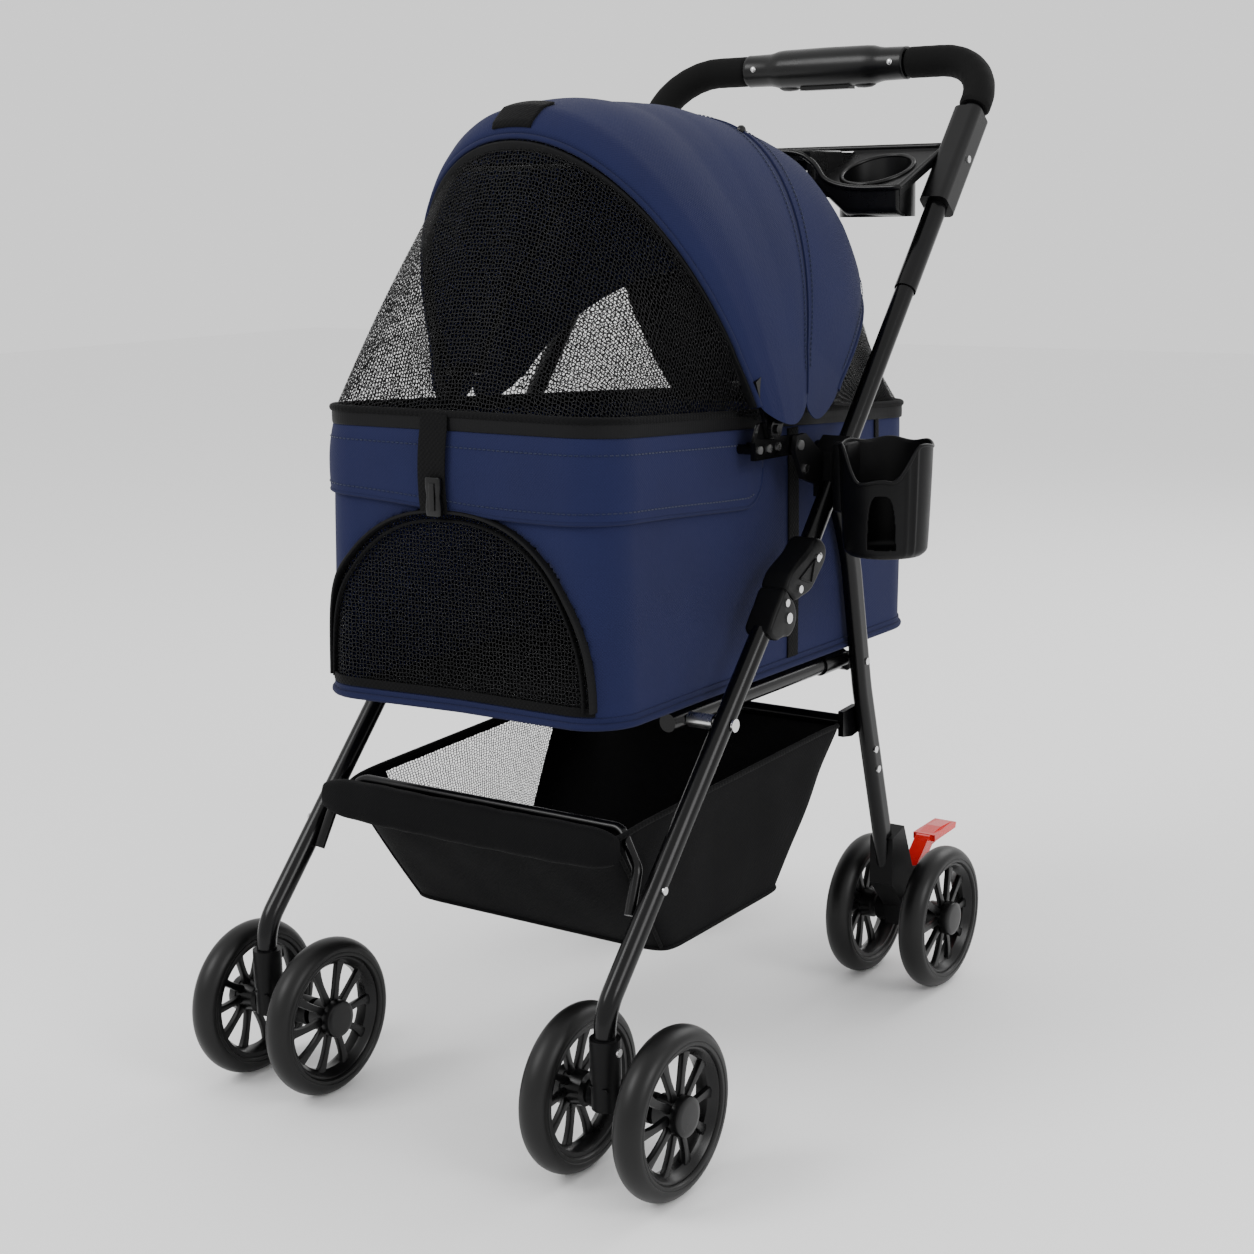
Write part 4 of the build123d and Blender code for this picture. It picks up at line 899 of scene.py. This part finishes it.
def basket():
    """Storage basket: one lofted shell with a sagging floor, a net panel in its right side, a rolled front
    hem over the hoop, and piping."""
    dense = np.linspace(0, 2 * math.pi, 40001)
    ring = basket_point(dense, np.zeros(40001))[:, :2]
    gone = np.r_[0, np.cumsum(np.linalg.norm(np.diff(ring, axis=0), axis=1))]
    a = np.interp(np.linspace(0, gone[-1], 380, endpoint=False), gone, dense)
    t = np.linspace(0, 1, 40)
    walls = basket_point(a[:, None], t[None])
    base = walls[:, -1]
    middle = base.mean(0)
    rings = []
    for k in (0.82, 0.55, 0.28, 0.08):
        ring = middle + (base - middle) * k
        ring[:, 2] = base[:, 2] - 6.0 * (1 - k ** 2)
        rings.append(ring[:, None])
    points = np.concatenate([walls, *rings], 1)

    verts, faces, uv = grid(points, close_i=True)
    along = (walls[:, 0, 0] < -150) & (walls[:, 0, 1] > 108) & (walls[:, 0, 1] < 400)
    depth = np.arange(points.shape[1] - 1)
    window = (along[:, None] & (depth[None] >= 2) & (depth[None] < 33)).ravel()
    shell = piece("basket_bag", [(verts, faces[~window], uv[~window]), fan(points[:, -1])], BLACK_CLOTH, "front_frame",
                  outward=(0, 250, 230), wall=1.4, sharp=60)
    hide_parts("basket")
    panel = piece("basket_net", [(verts, faces[window], uv[window])], GREY_NET, "front_frame", outward=(0, 250, 230),
                  wall=0.5, sharp=60)
    rim = piece("basket_piping", swept(walls[:, 0], circle(2.6, 12), close=True), WEBBING, "front_frame")
    edges = []
    for k in range(4):
        line = basket_point(np.full(30, math.pi / 4 + k * math.pi / 2), np.linspace(0.02, 0.99, 30))
        edges.append(piece(f"basket_edge_{k}", swept(line, circle(1.9, 10), up=(0.3, 0.9, 0.1)), WEBBING, "front_frame"))
    low = piece("basket_low_piping", swept(walls[:, -1], circle(2.2, 10), close=True), WEBBING, "front_frame")
    x = np.linspace(-166, 166, 70)
    roll = np.stack([x, HOOP_Y - 1.0 + 0 * x, HOOP_Z - 9.0 - 2.0 * (1 - (x / 166) ** 2)], 1)
    ends = 1 - 0.35 * (abs(x) / 166) ** 14 + 0.025 * np.sin(x / 9.0) * np.sin(x / 23.0)
    piece("basket_front_roll", swept(roll, pad_section(23, 37, 26, 2.8), scale=ends), BLACK_CLOTH, "front_frame")
    for obj in (shell, panel, rim, low, *edges):
        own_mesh(obj)


# ---------------------------------------------------------------- cup holder, tray and housing
def cup_holder():
    """Open holder: a tapered wall over angle and height with a scooped, wavy lip and an arched slot."""
    x0, y0, low, high = 259.0, 340.0, 500.0, 603.0
    a = np.linspace(-math.pi, math.pi, 300, endpoint=False)
    off = np.angle(np.exp(1j * (a - math.radians(-76))))
    scoop = np.clip(1.45 * (1 - abs(off) / math.radians(62)), 0, 1)
    lip = high - 31.0 * scoop ** 2 * (3 - 2 * scoop) - 3.0 * np.cos(3 * (a - 0.4)) ** 2
    t = np.linspace(0, 1, 84)
    z = low + (lip[:, None] - low) * t[None]
    radius = 38.0 + 5.0 * ((z - low) / 103.0) ** 0.7 - 5.0 * np.clip(1 - (z - low) / 7.0, 0, 1) ** 2
    rib = 1.2 * np.exp(-((np.angle(np.exp(1j * (a - math.radians(-22)))) / 0.05) ** 2)) \
        + 1.2 * np.exp(-((np.angle(np.exp(1j * (a - math.radians(-34)))) / 0.05) ** 2))
    radius = radius + rib[:, None] * np.clip((z - low) / 12, 0, 1)
    points = np.stack([x0 + radius * np.cos(a)[:, None], y0 + radius * np.sin(a)[:, None], z], 2)
    turn = math.radians(-68)

    def closed(c):
        angle = np.angle(np.exp(1j * (np.arctan2(c[:, 1] - y0, c[:, 0] - x0) - turn))) / 0.34
        return ~((abs(angle) < 1) & (c[:, 2] > 509) & (c[:, 2] < 509 + 50 * np.clip(1 - angle ** 4, 0, 1) ** 0.5))

    wall = keep_faces(grid(points, close_i=True), closed)
    holder = piece("cup_holder_body", [wall, fan(points[:, 0])], PLASTIC, "handle_frame", outward=(259, 340, 540),
                   wall=2.6, sharp=50)
    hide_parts("cup_holder")
    lip_path = np.stack([x0 + 42.0 * np.cos(a), y0 + 42.0 * np.sin(a), lip], 1)
    piece("cup_holder_lip", swept(lip_path, circle(1.8, 10), close=True), PLASTIC, "handle_frame")
    neck = swept(np.array([[208.5, 350, z] for z in (536, 538, 560, 585, 599, 601)], float),
                 pad_section(40.0, 17.0, 24, 5), up=(1, 0, 0), scale=np.array([0.8, 0.95, 1, 1, 0.95, 0.8]))
    neck = [(v + [6.0, 0, 0], f, uv) for v, f, uv in neck]
    piece("cup_holder_clip", neck, PLASTIC, "handle_frame", sharp=35)


def wing_top(y):
    """Height of the tray's outer parts, which slope down to the front."""
    return 872.0 - 41.0 * (612.0 - y) / 103.0


def tray_trim():
    """Raised lips round the tray, its wells and its dish, and the rounded front walls under the wells."""
    x = np.array([-181.0, -130, -100, -84, -60, 0, 60, 84, 100, 130, 181])
    z = np.array([831.5, 832, 840, 858, 868, 869, 868, 858, 840, 832, 831.5])
    front = smooth_path(np.stack([x, np.full(11, 508.0), z], 1), 160)
    rear = np.stack([np.linspace(181, -181, 60), np.full(60, 611.5), np.full(60, 872.5)], 1)
    path = np.vstack([front, rear])
    piece("tray_lip", swept(path, circle(2.9, 12), close=True), SATIN, "handle_frame")
    a = np.linspace(0, 2 * math.pi, 72, endpoint=False)
    for side, sign in (("left", 1), ("right", -1)):
        y = 553.0 + 36.0 * np.sin(a)
        ring = np.stack([sign * 134.0 + 36.0 * np.cos(a), y, wing_top(y) + 0.6], 1)
        piece(f"well_lip_{side}", swept(ring, circle(2.4, 12), close=True), SATIN, "handle_frame")
        x, t = np.meshgrid(np.linspace(86, 181, 24), np.linspace(0, 1, 22), indexing="ij")
        top = np.interp(x, [84, 100, 130], [857, 839, 831.5])
        turn = np.clip((t - 0.55) / 0.45, 0, 1) * math.pi / 2
        flat = np.interp(x, [86, 120], [832.0, 803.5])
        drop = np.clip(t / 0.55, 0, 1)
        z = top + (flat + 9.0 - top) * drop - 9.0 * np.sin(turn)
        y = 508.5 + 14.0 * (1 - np.cos(turn))
        piece(f"tray_front_{side}", [grid(np.stack([sign * x, y, z], 2))], SATIN, "handle_frame",
              outward=(sign * 134, 560, 850), wall=2.4)
    c, q = np.cos(a), np.sin(a)
    dish = np.stack([72.4 * np.sign(c) * abs(c) ** 0.35, 564 + 35.4 * np.sign(q) * abs(q) ** 0.35, np.full(72, 868.2)], 1)
    piece("dish_lip", swept(dish, circle(2.0, 12), close=True), SATIN, "handle_frame")


def screw(name, x, y, z, r, way, body):
    """Domed screw or rivet head facing a direction."""
    way = unit(np.asarray(way, float))
    path = np.array([x, y, z]) + way * np.array([0, 0.5, 1.1, 1.5, 1.7])[:, None]
    up = (0, 0, 1) if abs(way[2]) < 0.8 else (0, 1, 0)
    piece(name, swept(path, circle(r, 18), up=up, scale=np.array([1, 1, 0.86, 0.5, 0.12])), STEEL, body, sharp=50)


def housing_trim():
    """Smooth housing over the middle of the push bar: a turned shell with a raised centre, thumb bumps under
    it, fine end rings and two screws."""
    y, z = 687.0, 961.0
    half = [(97.6, 12.2), (97.6, 16.4), (96.6, 17.2), (94, 17.0), (70, 17.4), (64, 18.4), (58, 20.0), (50, 20.6),
            (0, 21.0)]
    profile = half + [(-w, r) for w, r in half[-2::-1]]
    shell = piece("housing_shell", [lathe(profile, 0.0, y, z, 64)], SATIN, "handle_frame", sharp=50)
    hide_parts("fold_housing")
    for k, x in enumerate((-46.0, 46.0)):
        bump = np.array([[x + d, y, z - 16.0] for d in (-13, -12, -8, 0, 8, 12, 13)])
        parts = swept(bump, circle(7.5, 20), scale=np.array([0.4, 0.7, 0.93, 1, 0.93, 0.7, 0.4]))
        piece(f"housing_bump_{k}", parts, SATIN, "handle_frame")
    for k, x in enumerate((-84.0, 84.0)):
        screw(f"housing_screw_{k}", x, y - 16.8, z + 1, 3.2, (0, -1, 0.05), "handle_frame")


def lock_frame(s, t):
    """Point s along the handle tubes and t behind the fold pivot, as (y, z)."""
    y, z = 0.6397, 0.7686
    return 250.0 + s * y + t * z, 450.0 + s * z - t * y


def pebble(outline, x0, x1, soft):
    """Rounded plate: a smoothed outline carried from x0 to x1, drawn in by a quarter circle at both faces."""
    ring = smooth_path([(0.0, *lock_frame(s, t)) for s, t in outline], 110, close=True)
    middle = ring.mean(0)
    reach = np.linalg.norm(ring - middle, axis=1)[:, None]
    a = np.linspace(0, math.pi / 2, 7)
    stations = [(x0 + soft * (1 - math.cos(k)), soft * (1 - math.sin(k))) for k in a]
    stations += [(x1 - x + x0, inset) for x, inset in reversed(stations)]
    rows = np.stack([(ring - (ring - middle) * inset / reach) * [0, 1, 1] + [x, 0, 0] for x, inset in stations])
    return [grid(rows, close_j=True), fan(rows[0]), fan(rows[-1])]


LOCK_LOW = [(-26, -20), (-14, -22), (0, -22), (17.6, -21), (18.2, -10), (17.6, 1), (11, 12), (0, 16.5), (-11, 14),
            (-18, 5), (-25, -2), (-28, -11)]
LOCK_HIGH = [(18.8, -20), (32, -21.5), (46, -17), (66, -8), (82, -3), (88, 6), (87, 18), (78, 24), (62, 23.5),
             (42, 20.5), (28, 10), (18.8, 1), (18.6, -10)]


def lock_trim():
    """Fold joints: two rounded halves on each side, a raised arrow and a screw."""
    for side, sign in (("left", 1), ("right", -1)):
        low, high = sorted((sign * 181.0, sign * 209.0))
        lower = piece(f"fold_joint_lower_{side}", pebble(LOCK_LOW, low, high, 4.0), PLASTIC, "front_frame", sharp=50)
        upper = piece(f"fold_joint_upper_{side}", pebble(LOCK_HIGH, low, high, 4.0), PLASTIC, "handle_frame", sharp=50)
        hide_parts(f"fold_lock_lower_{side}")
        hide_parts(f"fold_lock_upper_{side}")
        x = sign * 209.4
        corners = [(x, *lock_frame(s, t)) for s, t in ((38, -6), (66, 6), (46, 14))]
        line = np.vstack([np.linspace(corners[k], corners[(k + 1) % 3], 12, endpoint=False) for k in range(3)])
        piece(f"lock_arrow_{side}", swept(line, circle(0.9, 8), up=(1, 0, 0), close=True), PLASTIC, "handle_frame")
        y, z = lock_frame(74, 13)
        screw(f"lock_screw_{side}", sign * 208.6, y, z, 3.2, (sign, 0, 0), "handle_frame")


# ---------------------------------------------------------------- finishes of the carried-over nodes
def cad_finishes():
    """A procedural finish for every CAD node that stays shown."""
    table = [(STEEL, ("rivets", "_axle", "frame_pins")),
             (TUBE, ("front_leg", "rear_leg", "lower_handle", "grip_tube", "rear_crossbar", "side_bar", "basket_hoop",
                     "canopy_front_rib", "canopy_rear_rib", "rim_plates", "rim_frame")),
             (RED, ("brake_pedal",)), (WEBBING, ("base_board",)),
             (SATIN, ("fold_lock", "fold_housing", "fold_trigger", "parent_tray")),
             (PLASTIC, ("caster", "bracket", "housings"))]
    for name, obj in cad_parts.items():
        chosen = next((m for m, words in table if any(w in name for w in words)), PLASTIC)
        if "rear_axle_housings" in name or "caster" in name:
            chosen = PLASTIC
        obj.data.materials.clear()
        obj.data.materials.append(chosen)


camera()
studio()
cad_finishes()
wheels()
foam_grips()
cabin()
flap()
canopy()
nets()
basket()
cup_holder()
tray_trim()
housing_trim()
lock_trim()
